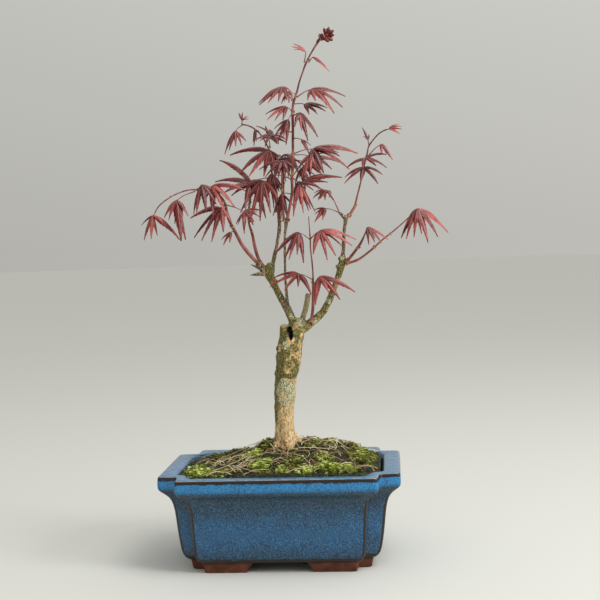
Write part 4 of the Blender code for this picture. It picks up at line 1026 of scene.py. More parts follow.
BURRS = (                    # swellings: centre and half sizes
    ((-4.2, -3.0, 137.0), (1.3, 1.8, 2.4)), ((-3.2, -2.5, 163.0), (1.6, 2.2, 2.8)),
    ((-1.4, -1.0, 177.0), (1.7, 2.4, 2.8)), ((6.4, -7.0, 168.0), (3.6, 2.8, 3.4)),
    ((11.0, -7.2, 176.0), (4.0, 3.2, 4.0)), ((5.0, -8.0, 177.0), (2.6, 2.4, 3.2)),
    ((15.4, -5.0, 171.0), (2.4, 3.0, 3.4)), ((17.2, -3.0, 182.0), (1.8, 3.0, 4.6)),
    ((1.0, -7.6, 184.0), (3.0, 2.4, 4.0)), ((12.0, -7.6, 188.6), (3.2, 2.2, 2.8)),
    ((9.0, 7.0, 170.0), (5.0, 3.0, 6.0)), ((17.5, -2.2, 206.0), (3.2, 3.0, 2.4)),
    ((30.5, -0.6, 206.4), (2.6, 3.0, 2.4)), ((-3.0, -2.4, 243.0), (3.8, 3.6, 2.2)),
    ((57.4, 4.0, 260.6), (3.7, 3.6, 2.6)), ((54.6, 3.4, 254.0), (3.4, 3.4, 1.8)),
)
STOUTER = 0.05               # share by which bark thickens the trunk's solid
GRAIN_STEP = 0.52            # between points on the wood's skin
CUT_FACE = Vector((27.4, 2.9, 232.4))   # the sawn end of the cut branch
RING_SCAR = 160.0            # height of the ridge round the trunk where algae stop
LIMB_WOUND = Vector((-3, -4, 243))      # the healed wound on the left limb
STUB_HOLLOWS = (             # the rotted-out pocket beside the stub: centre and half sizes
    ((9.8, -9.6, 200.4), (2.5, 7.0, 3.4)), ((11.2, -9.6, 196.6), (1.8, 7.2, 5.0)),
)
LICHEN = (                   # cream lichen crusts: centre and size
    ((6.5, -9.4, 187.6), 4.4), ((3.4, -8.6, 153.5), 4.2), ((20.0, -4.0, 207.0), 4.6),
    ((32.0, -2.0, 207.0), 3.0), ((11.5, -4.0, 212.0), 2.6), ((12.0, -8.0, 143.0), 4.0),
    ((-2.0, -7.0, 147.0), 3.4), ((14.0, -6.0, 152.0), 3.0), ((57.5, 1.0, 262.0), 2.6),
    ((44.0, 0.0, 224.0), 2.6), ((2.0, -6.0, 229.0), 2.4), ((10.0, -8.0, 118.0), 2.4),
    ((2.0, 8.0, 140.0), 5.0), ((9.0, 9.0, 152.0), 5.0), ((14.0, 8.0, 190.0), 4.0),
)


def level(value, low, high):
    """0 at low, 1 at high and smooth between them, whichever is the larger."""
    t = unit((value - low) / (high - low))
    return t * t * (3 - 2 * t)


def burr(centre, half):
    """A round swelling, from its centre and half sizes."""
    clear_selection()
    bpy.ops.mesh.primitive_uv_sphere_add(segments=20, ring_count=12, radius=1.0)
    lump = bpy.context.object
    for vert in lump.data.vertices:
        vert.co = spot(*(c + h * p for c, h, p in zip(centre, half, vert.co)))
    return lump


def fluted(i, turn):
    """How far the trunk's skin stands in and out round each ring."""
    return 1 + 0.05 * math.sin(3 * turn + i * 0.05) + 0.035 * math.sin(5 * turn - i * 0.08 + 1)


def old_wood():
    """Joins trunk, limbs, stubs and last year's branches into one skin, and gives it bark."""
    stout = [(*row[:3], row[3] * level(row[2], 212, 195) * STOUTER + row[3]) for row in TRUNK_AXIS]
    pieces = [stem(stout, 28, 2.0, fluted)]
    for route in (*ROOTS, PRUNING_STUB, CUT_BRANCH, LEFT_LIMB, RIGHT_LIMB, GREY_BRANCH, LEAF_SPUR,
                  BROWN_BRANCH, THIN_BRANCH, DEAD_TWIG, DEAD_SPUR):
        sawn = route is CUT_BRANCH
        pieces.append(stem(route, 16, 1.2, ends=(True, not sawn)))
    pieces += [burr(*row) for row in BURRS]
    wood = join(pieces)
    finish_with(wood, "REMESH", mode="VOXEL", voxel_size=GRAIN_STEP * MM)
    for row in STUB_HOLLOWS:
        pocket = burr(*row)
        finish_with(wood, "BOOLEAN", operation="DIFFERENCE", object=pocket, solver="EXACT")
        bpy.data.objects.remove(pocket)
    finish_with(wood, "REMESH", mode="VOXEL", voxel_size=GRAIN_STEP * MM)
    finish_with(wood, "SMOOTH", factor=0.5, iterations=4)
    skin = wood.data
    marks = {mark: [] for mark in BARK_MARKS}
    moved = []
    for vert in skin.vertices:
        p = in_pot_frame(vert.co)
        facing = vert.normal
        old = level(p.z, 262, 246)
        thin = 1.0 if p.y < -2.4 and 3 < p.x < 14 and p.z > 216 else 0.0
        girth = level(p.z, 240, 150) * (1 - thin)
        upright = Vector((p.x, p.y, p.z * 0.22))
        depth = girth * (0.5 * noise.noise(upright / 2.6) + 0.28 * abs(noise.noise(upright / 1.1)) - 0.1)
        depth += (0.35 + 0.3 * girth) * noise.noise(p / 5.2) * (1 - 0.7 * thin)
        depth += 0.16 * noise.noise(p / 1.25) + 0.1 * girth * noise.noise(p / 0.7)
        ring_scar = math.exp(-((p.z - RING_SCAR - 0.8 * math.sin(p.x / 2)) / 2.2) ** 2)
        depth += 0.22 * ring_scar
        pocket_reach = min(math.sqrt(sum(((a - c) / h) ** 2 for a, c, h in zip(p, *row)))
                           for row in STUB_HOLLOWS)
        # painted shade inside the rotted pocket
        hollow_shade = 1 - level(pocket_reach, 1.0, 1.25)
        moved.append(vert.co + facing * depth * MM)
        wander = noise.noise(p / 7.0)
        shade = max(0.0, -facing.x - 0.25)
        # more algae on the side away from the light: partly real algae, partly painted shade
        algae_and_shade = 0.95 * shade * level(p.z, 104, 122)
        algae_and_shade += 0.3 * level(p.z, 118, 136) + 0.3 * level(p.z, 178, 190)
        algae_and_shade += (0.5 * ring_scar
                  + 0.42 * level(p.z, 154, 166) * (1 - level(p.z, 178, 190)) * (1 - 0.4 * facing.x))
        algae_and_shade += 0.2 * level(p.z, 206, 214)
        for centre, _ in BURRS[:3]:
            algae_and_shade += 0.5 * math.exp(-((p - Vector(centre)).length / 3.6) ** 2)
        # less algae on the side facing the light: painted light
        algae_and_shade -= 0.16 * level(p.z, 208, 216) * max(0.0, 0.3 + facing.x)
        clean = (1 - 0.8 * thin) * (1 - level(p.x, -8, -12)) * (1 - 0.75 * level(p.z, 254, 270))
        marks["algae_and_shade"].append(max(0.0, algae_and_shade + 0.45 * wander) * clean)
        lichen = 0.56 * level(p.z, 122, 138) * level(p.z, 160, 152)
        for centre, size in LICHEN:
            ragged = (p - Vector(centre)).length + 1.6 * noise.noise(p / 1.8)
            lichen += 1.1 * math.exp(-(ragged / size) ** 4)
        # less pale lichen on the side away from the light: painted shade
        lichen -= 0.45 * shade
        marks["lichen"].append(max(0.0, lichen + 0.25 * wander))
        scarred = math.exp(-((p.x - 8.0) / 7) ** 2 - ((p.z - 175) / 11) ** 2) * max(0.0, 0.1 - facing.y)
        wound = scarred * (0.26 + 0.75 * noise.noise(p / 3.4))
        wound += 0.4 * level(p.z, 126, 108) * max(0.0, 0.6 - facing.x * 0.6 + wander)
        wound += 0.7 * math.exp(-((p - LIMB_WOUND).length / 3.4) ** 4)
        wound += 0.6 * math.exp(-((p.z - 302) / 3) ** 2) * (1 if p.x < 20 else 0)
        marks["wound"].append(max(0.0, wound))
        marks["twig"].append(max(1 - old, thin, level(p.x, -9, -13)))
        on_cut_branch = 19 < p.x < 30.5 and p.z > 206 and p.x < 24.9 + (p.z - 206) * 0.38
        on_stub_top = p.z > 200.6 and p.x < 9.5 and facing.z > 0.6
        if (p - CUT_FACE).length < 4.2 and facing.z > 0.55:
            cut = 1.0
        else:
            cut = 0.55 * level(p.z, 206, 212) * on_cut_branch
        marks["cut_wood"].append(cut + 0.9 * on_stub_top)
        marks["hollow_shade"].append(hollow_shade)
    skin.vertices.foreach_set("co", [c for co in moved for c in co])
    skin.update()
    for mark, values in marks.items():
        paint(wood, mark, values)
    smooth(wood)
    return settle(wood, "trunk_and_limbs", [bark], "maple_bark", "trunk")


old_wood()


# ---------------------------------------------------------------- this year's shoots
# each shoot as points of x, y, z and the radius of its solid
SHOOTS = {
    "shoot_left_outer": (
        (-16.5, -6.0, 259.8, 1.9), (-21.0, -8.0, 265.0, 2.2), (-28.3, -10.0, 275.0, 2.1),
        (-34.5, -12.5, 288.0, 1.9), (-39.0, -14.5, 298.0, 1.7), (-40.5, -16.0, 306.0, 1.5),
        (-41.5, -17.0, 312.0, 1.4), (-46.0, -19.0, 319.0, 1.3), (-54.0, -21.0, 322.5, 1.2),
        (-63.0, -22.5, 324.0, 1.2), (-70.0, -24.0, 324.3, 0.9), (-76.0, -26.0, 323.0, 0.8),
        (-82.5, -28.0, 320.5, 0.7), (-89.6, -30.0, 316.5, 0.7), (-96.0, -31.0, 311.5, 0.7),
        (-99.8, -31.4, 306.5, 0.7),
    ),
    "shoot_left_inner": (
        (-12.8, 0.8, 257.6, 1.8), (-16.6, 3.0, 264.0, 2.0), (-19.5, 6.0, 274.0, 1.9),
        (-21.5, 9.0, 284.0, 1.6), (-24.5, 12.0, 294.0, 1.4), (-25.0, 12.0, 303.0, 1.3),
        (-23.0, 9.0, 312.0, 1.2), (-20.8, 3.0, 321.0, 1.1), (-20.0, -3.5, 326.5, 1.0),
    ),
    "shoot_left_arching": (
        (0.8, 9.4, 306.4, 1.4), (-0.4, 12.0, 318.0, 1.3), (-2.2, 14.0, 332.0, 1.2),
        (-3.6, 15.0, 345.0, 1.1), (-4.6, 15.0, 357.0, 1.0), (-6.6, 15.0, 363.0, 0.9),
        (-10.7, 14.0, 371.0, 0.9), (-15.0, 13.0, 376.0, 0.9), (-19.0, 12.5, 379.0, 0.9),
        (-23.5, 12.0, 381.0, 0.9), (-27.5, 11.0, 381.6, 1.0),
    ),
    "shoot_back": (
        (5.4, 11.2, 306.8, 1.5), (6.4, 13.0, 316.0, 1.5), (6.8, 15.0, 328.0, 1.3),
        (7.6, 16.0, 340.0, 1.2), (9.0, 17.0, 350.0, 1.0),
    ),
    "leader_shoot": (
        (11.6, -9.4, 297.4, 1.7), (13.0, -9.5, 303.5, 1.6), (14.7, -9.0, 311.0, 1.6),
        (16.3, -8.0, 320.0, 1.6), (16.5, -7.0, 330.0, 1.7), (16.8, -6.0, 335.0, 1.9),
        (17.3, -5.0, 345.0, 1.5), (17.8, -4.0, 355.0, 1.5), (18.0, -3.0, 365.0, 1.5),
        (18.3, -2.0, 375.0, 1.6), (18.3, -1.0, 385.0, 1.7), (18.8, 0.0, 395.0, 1.5),
        (20.5, 1.0, 401.0, 1.3), (22.8, 2.0, 408.0, 1.1), (25.0, 2.5, 416.0, 1.0),
        (28.0, 3.0, 424.0, 1.0), (30.6, 3.0, 430.5, 1.2), (35.0, 3.5, 438.8, 1.0),
        (39.4, 4.0, 445.8, 1.1), (42.0, 4.0, 449.5, 1.3),
    ),
    "shoot_centre": (
        (8.6, -12.2, 297.6, 1.3), (8.4, -13.5, 308.0, 1.3), (8.2, -14.5, 320.0, 1.2),
        (8.4, -15.0, 332.0, 1.0), (9.0, -15.0, 342.0, 0.9),
    ),
    "shoot_right": (
        (65.4, 7.0, 299.4, 1.4), (67.4, 7.4, 302.4, 1.6), (69.8, 8.0, 306.5, 1.4),
        (71.0, 8.5, 311.0, 1.1), (72.6, 9.0, 317.0, 1.0), (75.3, 10.0, 326.5, 0.9),
        (77.5, 11.0, 336.0, 0.9), (79.2, 12.0, 343.0, 1.0), (80.4, 12.5, 347.0, 1.1),
        (82.0, 14.0, 353.0, 0.9), (83.4, 14.6, 358.5, 0.9), (87.0, 13.0, 363.4, 0.8),
        (92.0, 10.4, 368.4, 0.8), (96.0, 8.8, 370.8, 0.8), (99.0, 8.0, 371.8, 0.8),
    ),
    "shoot_right_low": (
        (63.2, 0.8, 259.8, 1.5), (65.8, -0.4, 263.0, 1.7), (69.5, -2.2, 267.5, 1.6),
        (73.7, -4.4, 273.0, 1.5), (77.0, -6.4, 279.0, 1.1), (79.5, -8.2, 284.5, 0.7),
    ),
    "shoot_right_long": (
        (63.0, 5.6, 256.8, 1.4), (69.5, 6.0, 258.7, 1.6), (74.5, 6.4, 261.3, 1.4),
        (81.0, 7.6, 266.0, 1.3), (86.0, 8.6, 270.0, 1.4), (90.5, 9.5, 274.0, 1.1),
        (95.0, 10.2, 277.7, 0.9), (101.0, 11.2, 282.0, 0.8), (110.5, 12.5, 289.6, 0.8),
        (116.5, 13.0, 294.8, 0.7), (122.0, 13.3, 299.3, 0.7),
    ),
    "shoot_middle": (
        (29.6, -5.6, 209.6, 1.7), (31.0, -6.6, 219.0, 1.8), (31.7, -8.4, 229.5, 1.7),
        (32.1, -10.0, 242.0, 1.3), (32.3, -11.4, 249.0, 1.0), (32.0, -14.0, 259.5, 0.9),
        (31.2, -16.2, 271.0, 0.8), (31.4, -18.0, 279.0, 0.8), (31.0, -19.5, 289.5, 0.6),
        (30.8, -20.2, 298.0, 0.5),
    ),
}

# where each shoot carries leaves, as shares of its length: a slight joint with two buds
JOINTS = {
    "shoot_left_outer": (0.0, 0.3, 0.44, 0.66, 0.84, 1.0), "shoot_left_inner": (0.0, 0.42, 0.75, 1.0),
    "shoot_left_arching": (0.0, 0.36, 0.62, 1.0), "shoot_back": (0.0, 0.5, 1.0),
    "leader_shoot": (0.0, 0.22, 0.36, 0.58, 0.68, 0.88, 1.0), "shoot_centre": (0.0, 0.55, 1.0),
    "shoot_right": (0.0, 0.12, 0.5, 0.62, 1.0), "shoot_right_low": (0.0, 0.45, 1.0),
    "shoot_right_long": (0.0, 0.36, 0.6, 1.0), "shoot_middle": (0.0, 0.36, 0.8, 1.0),
}
SHOOT_SIDES = 12
GREEN_NODE = 334.0           # height of the leader's swollen yellow-green joint
SUNK = 3.0                   # how far a shoot's foot runs into the wood it grows from
SLENDER = 0.74               # the skin's radius as a share of the solid's
FOOT_LENGTH = 9              # points over which the foot narrows to the shoot
# how far along its colours each shorter shoot's tip gets
TIP_COLOUR = {"shoot_left_outer": 0.75, "shoot_right_long": 0.8, "shoot_middle": 0.85, "shoot_right_low": 0.7}


def small_bud(place, ahead, outward, size):
    """A closed bud: two overlapping pointed scales pressed against the shoot."""
    clear_selection()
    bpy.ops.mesh.primitive_uv_sphere_add(segments=8, ring_count=7, radius=1.0)
    bud = bpy.context.object
    lean = (ahead + 0.7 * outward).normalized()
    across = lean.cross(ahead.orthogonal()).normalized()
    other = lean.cross(across)
    for vert in bud.data.vertices:
        narrow = 0.42 * (1 - 0.45 * vert.co.z)
        out = narrow * (vert.co.x * across + vert.co.y * other)
        vert.co = spot(*(place + size * ((vert.co.z + 0.6) * lean + out)))
    return bud


def shoot(name, route):
    """One red shoot with its joints and buds."""
    first, second = Vector(route[0]), Vector(route[1])
    foot = first + (first - second).normalized() * SUNK
    foot.w = first.w * 1.3
    fine = finer([foot, *route], 0.9)
    for n, point in enumerate(fine):
        point.w *= SLENDER * (1.35 - 0.35 * min(1.0, n / FOOT_LENGTH))
    fine = rounded_off(fine, (False, True))
    total = len(fine) - 1
    joints = [share * total for share in JOINTS[name]]

    def off_joint(i):
        return min(abs(i - j) for j in joints)

    def swell(i, turn):
        return 1 + 0.25 * math.exp(-(off_joint(i) / 1.3) ** 2) + 0.04 * math.sin(2 * turn + i * 0.12)

    rings = rings_along(fine, SHOOT_SIDES, swell)
    along, ring_mark = [], []
    for i in range(len(rings)):
        along.append([min(1.0, TIP_COLOUR.get(name, 1.0) * i / total)] * SHOOT_SIDES)
        height = fine[i].z if name == "leader_shoot" else 0.0
        green = 0.95 * math.exp(-((height - GREEN_NODE) / 3.2) ** 2)
        ring_mark.append([max(0.5 * math.exp(-(off_joint(i) / 0.9) ** 2), green)] * SHOOT_SIDES)
    piece = loft(rings, {"along": along, "ring": ring_mark})
    buds = []
    for j in joints[:-1]:
        n = min(int(j) + 1, total - 1)
        ahead = (fine[n + 1] - fine[n]).xyz.normalized()
        side = ahead.orthogonal().normalized()
        for sign in (-1, 1):
            outward = (Matrix.Rotation(chance.uniform(0, 6), 3, ahead) @ side) * sign
            buds.append(small_bud(fine[n].xyz + 0.8 * fine[n].w * outward, ahead, outward,
                                  0.75 + 0.55 * fine[n].w))
    for bud in buds:
        count = len(bud.data.vertices)
        paint(bud, "along", [0.9] * count)
        paint(bud, "ring", [0.0] * count)
    piece = join([piece, *buds])
    smooth(piece)
    return settle(piece, f"red_{name}", [shoot_skin], "young_red_bark", name)


for shoot_name, shoot_route in SHOOTS.items():
    shoot(shoot_name, shoot_route)


# ---------------------------------------------------------------- leaves
# junction of blade and stalk, foot of the stalk, then each lobe's tip measured from the junction
LEAVES = (
    ((-101.6, -31.8, 303.0), (-100.1, -31.5, 305.2),
     ((-11, 3, -8), (-8, -4, -21), (-1, -8, -20), (10, -8, -7), (22, 2, -21), (1, 9, -17))),
    ((-81.0, -31.0, 315.5), (-67.0, -26.0, 322.2),
     ((-4, 8, -20), (6, 3, -34), (10, -3, -14), (4, -8, -35), (-6, -9, -17), (-11, -3, -15))),
    ((-59.5, -26.6, 328.0), (-61.2, -24.6, 326.0),
     ((-8, -2, -25), (-4, -9, -25), (5, -12, -24), (13, -7, -17), (19, 2, -14))),
    ((-19.8, -4.6, 329.2), (-4.8, 12.0, 334.0),
     ((-28, 9, 21), (-31, -4, 2), (-23, -14, -9), (-5, -12, -22), (10, -10, -18), (12, 3, -31))),
    ((-24.0, -22.0, 303.5), (-39.0, -18.6, 310.0),
     ((10, 6, 0), (13, -3, -4), (9, -9, -9), (0, -10, -12), (-7, -6, -10))),
    ((-44.6, -20.6, 308.0), (-42.6, -18.6, 309.4),
     ((-28, 8, -8), (-24, -2, -25), (-16, -11, -28), (-7, -14, -29), (3, -12, -21), (10, -6, -14))),
    ((-37.5, -16.4, 286.8), (-36.2, -14.6, 287.2),
     ((-8, -1, -6), (-6, -5, -11), (0, -8, -9))),
    ((-3.6, 5.0, 357.2), (-4.6, 13.2, 355.6),
     ((-36, 7, -2), (-26, -12, -20), (-17, -19, -24), (-4, -17, -23), (5, -11, -20), (10, -3, -8))),
    ((11.0, -5.0, 411.0), (18.4, -1.2, 399.0),
     ((-14, 10, -6), (-22, 2, -13), (-20, -8, -16), (-12, -13, -15), (-3, -15, -14), (4, -11, -13),
      (9, -3, -7))),
    ((35.5, -1.0, 408.6), (23.6, 1.0, 403.0),
     ((12, 12, -13), (29, 6, -7), (27, -5, -17), (20, -13, -23), (4, -14, -12), (-3, -10, -11))),
    ((29.0, 6.0, 396.6), (21.2, 2.4, 396.8),
     ((9, 13, -5), (19, 8, -3), (18, -2, -7), (11, -8, -10), (4, -11, -10))),
    ((25.0, -7.0, 388.0), (20.2, -2.8, 386.6),
     ((8, 9, -12), (15, 4, -21), (7, -5, -25), (2, -10, -16), (-4, -10, -13))),
    ((26.5, -9.0, 364.5), (19.8, -4.4, 366.4),
     ((7, 5, -5), (6, -2, -13), (3, -9, -8))),
    ((13.6, -9.4, 393.4), (17.4, -3.0, 390.4),
     ((-12, 7, -4), (-18, -2, -6), (-16, -10, -12), (-9, -13, -13), (-2, -14, -13))),
    ((1.5, -13.6, 369.0), (15.8, -4.6, 372.0),
     ((-4, 11, 6), (-14, -2, 8), (-15, -10, -5), (-5, -13, -7), (6, -12, -9), (12, -7, -5))),
    ((-33.0, 4.6, 375.4), (-28.8, 9.6, 380.0),
     ((-9, 6, -12), (-10, -2, -20), (-5, -7, -17), (1, -9, -14), (6, -7, -13), (9, 0, -9))),
    ((-2.8, 8.0, 337.2), (-2.6, 12.2, 334.4),
     ((-9, -5, -24), (-4, -9, -18), (2, -10, -27), (7, -6, -16), (9, 1, -12))),
    ((101.4, 7.4, 372.2), (100.0, 7.7, 372.0),
     ((9, 3, 4), (11, 0, 2), (11, -4, -1), (9, -7, -5))),
    ((94.7, 6.0, 359.4), (83.2, 12.6, 350.6),
     ((4, 8, -9), (9, 2, -14), (7, -6, -12), (0, -8, -10))),
    ((80.6, 6.0, 347.6), (80.4, 11.0, 346.6),
     ((18, 4, 3), (18, -4, -9), (9, -11, -8), (-3, -13, -8), (-17, -4, -8))),
    ((78.8, 4.4, 339.6), (77.8, 10.0, 337.8),
     ((-17, -2, -8), (-17, -9, -14), (-3, -13, -14), (12, -8, -15), (16, -1, -7))),
    ((44.0, 0.0, 305.0), (54.6, 2.8, 301.6),
     ((-10, 4, -1), (-9, -3, -5), (-9, -8, -12), (-2, -10, -10))),
    ((47.0, -4.0, 320.0), (55.2, 1.8, 303.6),
     ((3, 9, -2), (-9, 4, -6), (-12, -5, -5), (-6, -10, -7), (2, -10, -6))),
    ((24.0, -13.0, 326.4), (18.0, -8.8, 331.4),
     ((36, 2, 4), (24, -6, 0), (18, -11, -5), (9, -13, -22), (3, -15, -25), (-6, -14, -28))),
    ((29.5, 4.0, 345.0), (19.2, -3.6, 347.6),
     ((12, 10, -6), (14, 3, -12), (10, -8, -9), (3, -11, -12), (-7, -7, -13))),
    ((36.0, -8.0, 356.4), (19.6, -4.8, 353.4),
     ((21, 12, -3), (38, 2, -5), (31, -6, -19), (23, -12, -8), (9, -14, -22), (-3, -13, -15))),
    ((40.6, -24.0, 285.6), (32.4, -18.8, 279.4),
     ((18, 10, -14), (30, 2, -9), (27, -6, -14), (13, -12, -22), (6, -13, -25), (-6, -11, -20))),
    ((22.0, -22.0, 284.6), (30.4, -18.8, 278.8),
     ((-21, 2, -18), (-12, -8, -22), (-8, -14, -23), (-1, -13, -19), (4, -9, -26))),
    ((20.0, -14.4, 249.2), (30.8, -11.4, 244.0),
     ((-22, 5, -3), (-25, -2, -11), (-12, -8, -14), (0, -10, -11), (11, -10, -18))),
    ((38.6, -17.0, 246.2), (33.2, -11.6, 239.6),
     ((14, 10, -8), (30, 0, -14), (17, -8, -20), (8, -11, -14), (-4, -9, -24))),
    ((80.6, -10.4, 287.2), (79.9, -9.0, 285.8),
     ((6, 8, -10), (17, 2, -11), (12, -5, -14), (6, -9, -13), (1, -9, -15))),
    ((124.6, 13.4, 302.2), (123.2, 13.4, 300.4),
     ((-15, 9, -25), (-11, -9, -26), (-4, -12, -25), (8, -10, -30), (17, -5, -25), (26, 3, -22),
      (3, 12, -22))),
    ((31.2, 5.0, 441.4), (29.8, 4.2, 433.8),
     ((-11, 3, 8), (-12, -1, 5), (-10, -5, 2))),
    ((37.4, 1.2, 436.4), (34.4, 2.2, 433.2),
     ((14, 2, -13), (11, -3, -9), (4, -5, -5))),
    ((82.8, 15.4, 364.0), (83.4, 15.2, 360.4),
     ((-5, -1, 11), (-4, -4, 3), (1, 3, 5))),
    ((-27.4, 10.6, 385.0), (-27.6, 10.8, 383.2),
     ((-3, 2, 7), (1, -3, 7), (5, 3, 4), (6, -2, 1))),
    ((9.6, -17.0, 347.0), (9.2, -15.6, 343.6),
     ((-6, 6, -6), (-9, -3, -8), (-4, -9, -12), (5, -8, -12), (9, -3, -6))),
    ((10.0, 17.6, 354.6), (9.2, 17.2, 351.4),
     ((-10, 6, -8), (-5, 10, -13), (7, 10, -11), (11, 3, -8), (8, -6, -10))),
)

# more leaves that fill the crown's middle: junction, foot of the stalk, how light, then tips
FILLING_LEAVES = (
    ((14.9, -6.0, 382.6), (17.9, -2.0, 388.0), 0.35,
     ((-13, 4, -7), (-13, -3, -15), (-9, -8, -20), (-4, -11, -16), (-2, -7, -22))),
    ((15.8, -7.0, 406.8), (19.3, 0.0, 400.0), 0.50,
     ((-6, -5, -11), (-3, -9, -10), (1, -9, -11), (4, -3, -5))),
    ((15.0, 6.0, 350.0), (16.4, -5.0, 335.1), 0.20,
     ((-16, 5, -3), (-11, -4, -13), (-8, -9, -21), (-2, -12, -17), (7, -8, -15), (13, 0, -9))),
    ((33.9, -13.0, 351.2), (17.5, -8.0, 334.0), 0.70,
     ((-12, 5, -12), (-9, -4, -21), (-5, -9, -18), (0, -10, -16), (5, -4, -13))),
    ((8.2, -13.0, 346.1), (15.8, -9.0, 332.9), 0.25,
     ((-20, 5, -6), (-14, -4, -13), (-8, -9, -19), (-2, -11, -15), (4, -8, -18), (6, 0, -10))),
    ((-1.5, 4.0, 335.6), (15.1, -8.0, 331.5), 0.30,
     ((-9, 2, -14), (-5, -5, -21), (1, -8, -29), (5, -9, -24), (8, -3, -15))),
    ((20.6, 6.0, 329.4), (17.0, -7.0, 330.6), 0.35,
     ((-5, 2, -25), (2, -6, -20), (9, -4, -26), (14, 3, -27), (13, 6, -8))),
    ((43.6, 2.0, 321.1), (50.4, 3.0, 313.4), 0.85,
     ((-9, 6, -2), (-10, -3, -7), (-5, -8, -9), (1, -9, -9), (6, -3, -4), (-6, -2, 1))),
    ((-16.1, 11.0, 377.0), (-14.1, 12.0, 375.8), 0.30,
     ((-2, -2, -11), (-1, -5, -15), (1, -4, -11))),
    ((-4.2, 9.0, 369.6), (-3.7, 13.0, 361.5), 0.25,
     ((-8, 0, -3), (-3, -6, -9), (8, -7, -7), (16, -4, -6), (-3, 4, 10))),
    ((22.9, 24.0, 342.0), (17.6, -3.0, 340.6), 0.20,
     ((11, 8, -6), (8, 4, -15), (3, -3, -19), (-7, 6, -14), (14, 10, 3))),
    ((-0.8, 26.0, 354.9), (-4.0, 15.0, 358.4), 0.20,
     ((-17, 6, -5), (-11, 5, -13), (-3, -3, -16), (5, 2, -13), (8, 8, -3))),
    ((-50.4, -25.0, 327.1), (-47.0, -19.2, 319.4), 0.60,
     ((-8, 2, -14), (0, -5, -25), (12, -9, -27), (19, -7, -19), (28, 0, -5))),
    ((-9.2, -9.0, 330.6), (-20.6, -2.0, 325.4), 0.35,
     ((-28, 4, -12), (-20, -4, -27), (-11, -9, -36), (-2, -11, -35), (7, -7, -28), (14, 0, -17))),
    ((6.1, 3.0, 319.0), (15.6, -8.2, 318.0), 0.30,
     ((-8, -2, -19), (-3, -6, -25), (5, -6, -21), (10, 0, -11))),
    ((-24.9, -12.0, 305.1), (-23.4, 6.0, 312.0), 0.50,
     ((-7, 3, -12), (-1, -4, -20), (8, -9, -13), (13, -7, -6), (15, 0, -1))),
    ((34.5, 10.0, 350.4), (17.8, -4.0, 352.0), 0.25,
     ((-11, 2, -11), (-3, -3, -17), (7, -4, -17), (16, 0, -11), (25, 6, -6), (10, 9, 4))),
)

LOBE_ROWS = 2 * VEINS + 2    # rows of points along a lobe, two to each tooth
LOBE_WIDTH = 0.1             # half width of a lobe as a share of its length
LOBE_ARCH = 0.1              # rise of a lobe's middle above the straight line to its tip
NEIGHBOUR_SHARE = 0.5        # how much of the space to the next lobe a half width may take
MIDDLE_AT = 0.46             # where along a lobe it is widest
DROOP = 0.45                 # how much a blade's upward direction leans away from its lobes
BLADE_THICKNESS = 0.3
TOOTH = 0.12                 # how far a tooth stands out, as a share of the half width
STALK_RADIUS = 0.46
TO_LIGHT = Vector((0.12, -1.0, 0.45))   # the open side, which the leaves turn their upper skins to
TURNED = 0.55                # how far they turn
SHADE_OF_LEAF = {            # how red and light these leaves are, from 0, dark maroon, to 1
    1: 0.55, 2: 0.35, 3: 0.3, 4: 0.3, 5: 0.35, 6: 0.4, 8: 0.35, 9: 0.4, 10: 0.4, 11: 0.35, 18: 0.6,
    19: 0.5, 24: 0.45, 26: 0.3, 27: 0.5, 28: 0.4, 29: 0.45, 30: 0.5, 32: 0.5, 33: 0.6, 34: 0.5,
}


def lobe_pattern():
    """One flat lobe: a strip of leaf with a rib down the middle and teeth that point to its tip."""
    clear_selection()
    bpy.ops.mesh.primitive_grid_add(x_subdivisions=4, y_subdivisions=LOBE_ROWS, size=1.0)
    strip = bpy.context.object
    for vert in strip.data.vertices:
        row = round((vert.co.y + 0.5) * LOBE_ROWS)
        side = round(vert.co.x * 4)
        along = min((row // 2 + (0.72 if row % 2 else 0.0)) / (VEINS + 1), 1.0)
        wide = math.sin(math.pi * along ** 0.86) ** 0.85 * (1 - 0.28 * along ** 3) + 0.16 * (1 - along) ** 2
        if row == LOBE_ROWS:
            wide = 0.012
        on_edge = abs(side) == 2
        if on_edge and row % 2:
            wide *= 1 + TOOTH
            along = min(along + 0.022, 0.99)
        vert.co = (side / 2 * wide, along, (0.0, 0.1, -0.05)[abs(side)])
    return strip


PATTERN = lobe_pattern()
PATTERN_POINTS = [vert.co.copy() for vert in PATTERN.data.vertices]


def lobe(junction, tip, up, half_width):
    """Bends a copy of the pattern along an arch from the leaf's hub to the lobe's tip."""
    blade = bpy.data.objects.new("lobe", PATTERN.data.copy())
    bpy.context.scene.collection.objects.link(blade)
    length = tip.length
    wave = chance.uniform(0, math.tau)
    twist = chance.gauss(0, 0.16)
    fold = chance.uniform(0.15, 0.6)
    middle = MIDDLE_AT * tip + LOBE_ARCH * length * up
    handle = 2 * middle - 0.5 * tip + 0.04 * length * up
    curl = chance.uniform(-0.05, 0.09) * length
    points = []
    for across, t, rise in PATTERN_POINTS:
        place = 2 * t * (1 - t) * handle + t * t * tip
        ahead = (2 * (1 - 2 * t) * handle + 2 * t * tip).normalized()
        over = (up - up.dot(ahead) * ahead).normalized()
        open_side = (TO_LIGHT - TO_LIGHT.dot(ahead) * ahead).normalized()
        over = ((1 - TURNED) * over + TURNED * open_side).normalized()
        side = over.cross(ahead).normalized()
        over = ahead.cross(side).normalized()
        turned = twist * t
        side, over = (math.cos(turned) * side + math.sin(turned) * over,
                      math.cos(turned) * over - math.sin(turned) * side)
        lift = rise * half_width * 0.8 - fold * half_width * abs(across) - curl * max(0.0, t - 0.7) ** 2 * 3
        lift += 0.1 * half_width * math.sin(wave + 9 * t) * across
        points.append(spot(*(junction + place + across * half_width * side + lift * over)))
    blade.data.vertices.foreach_set("co", [c for p in points for c in p])
    blade.data.update()
    return blade


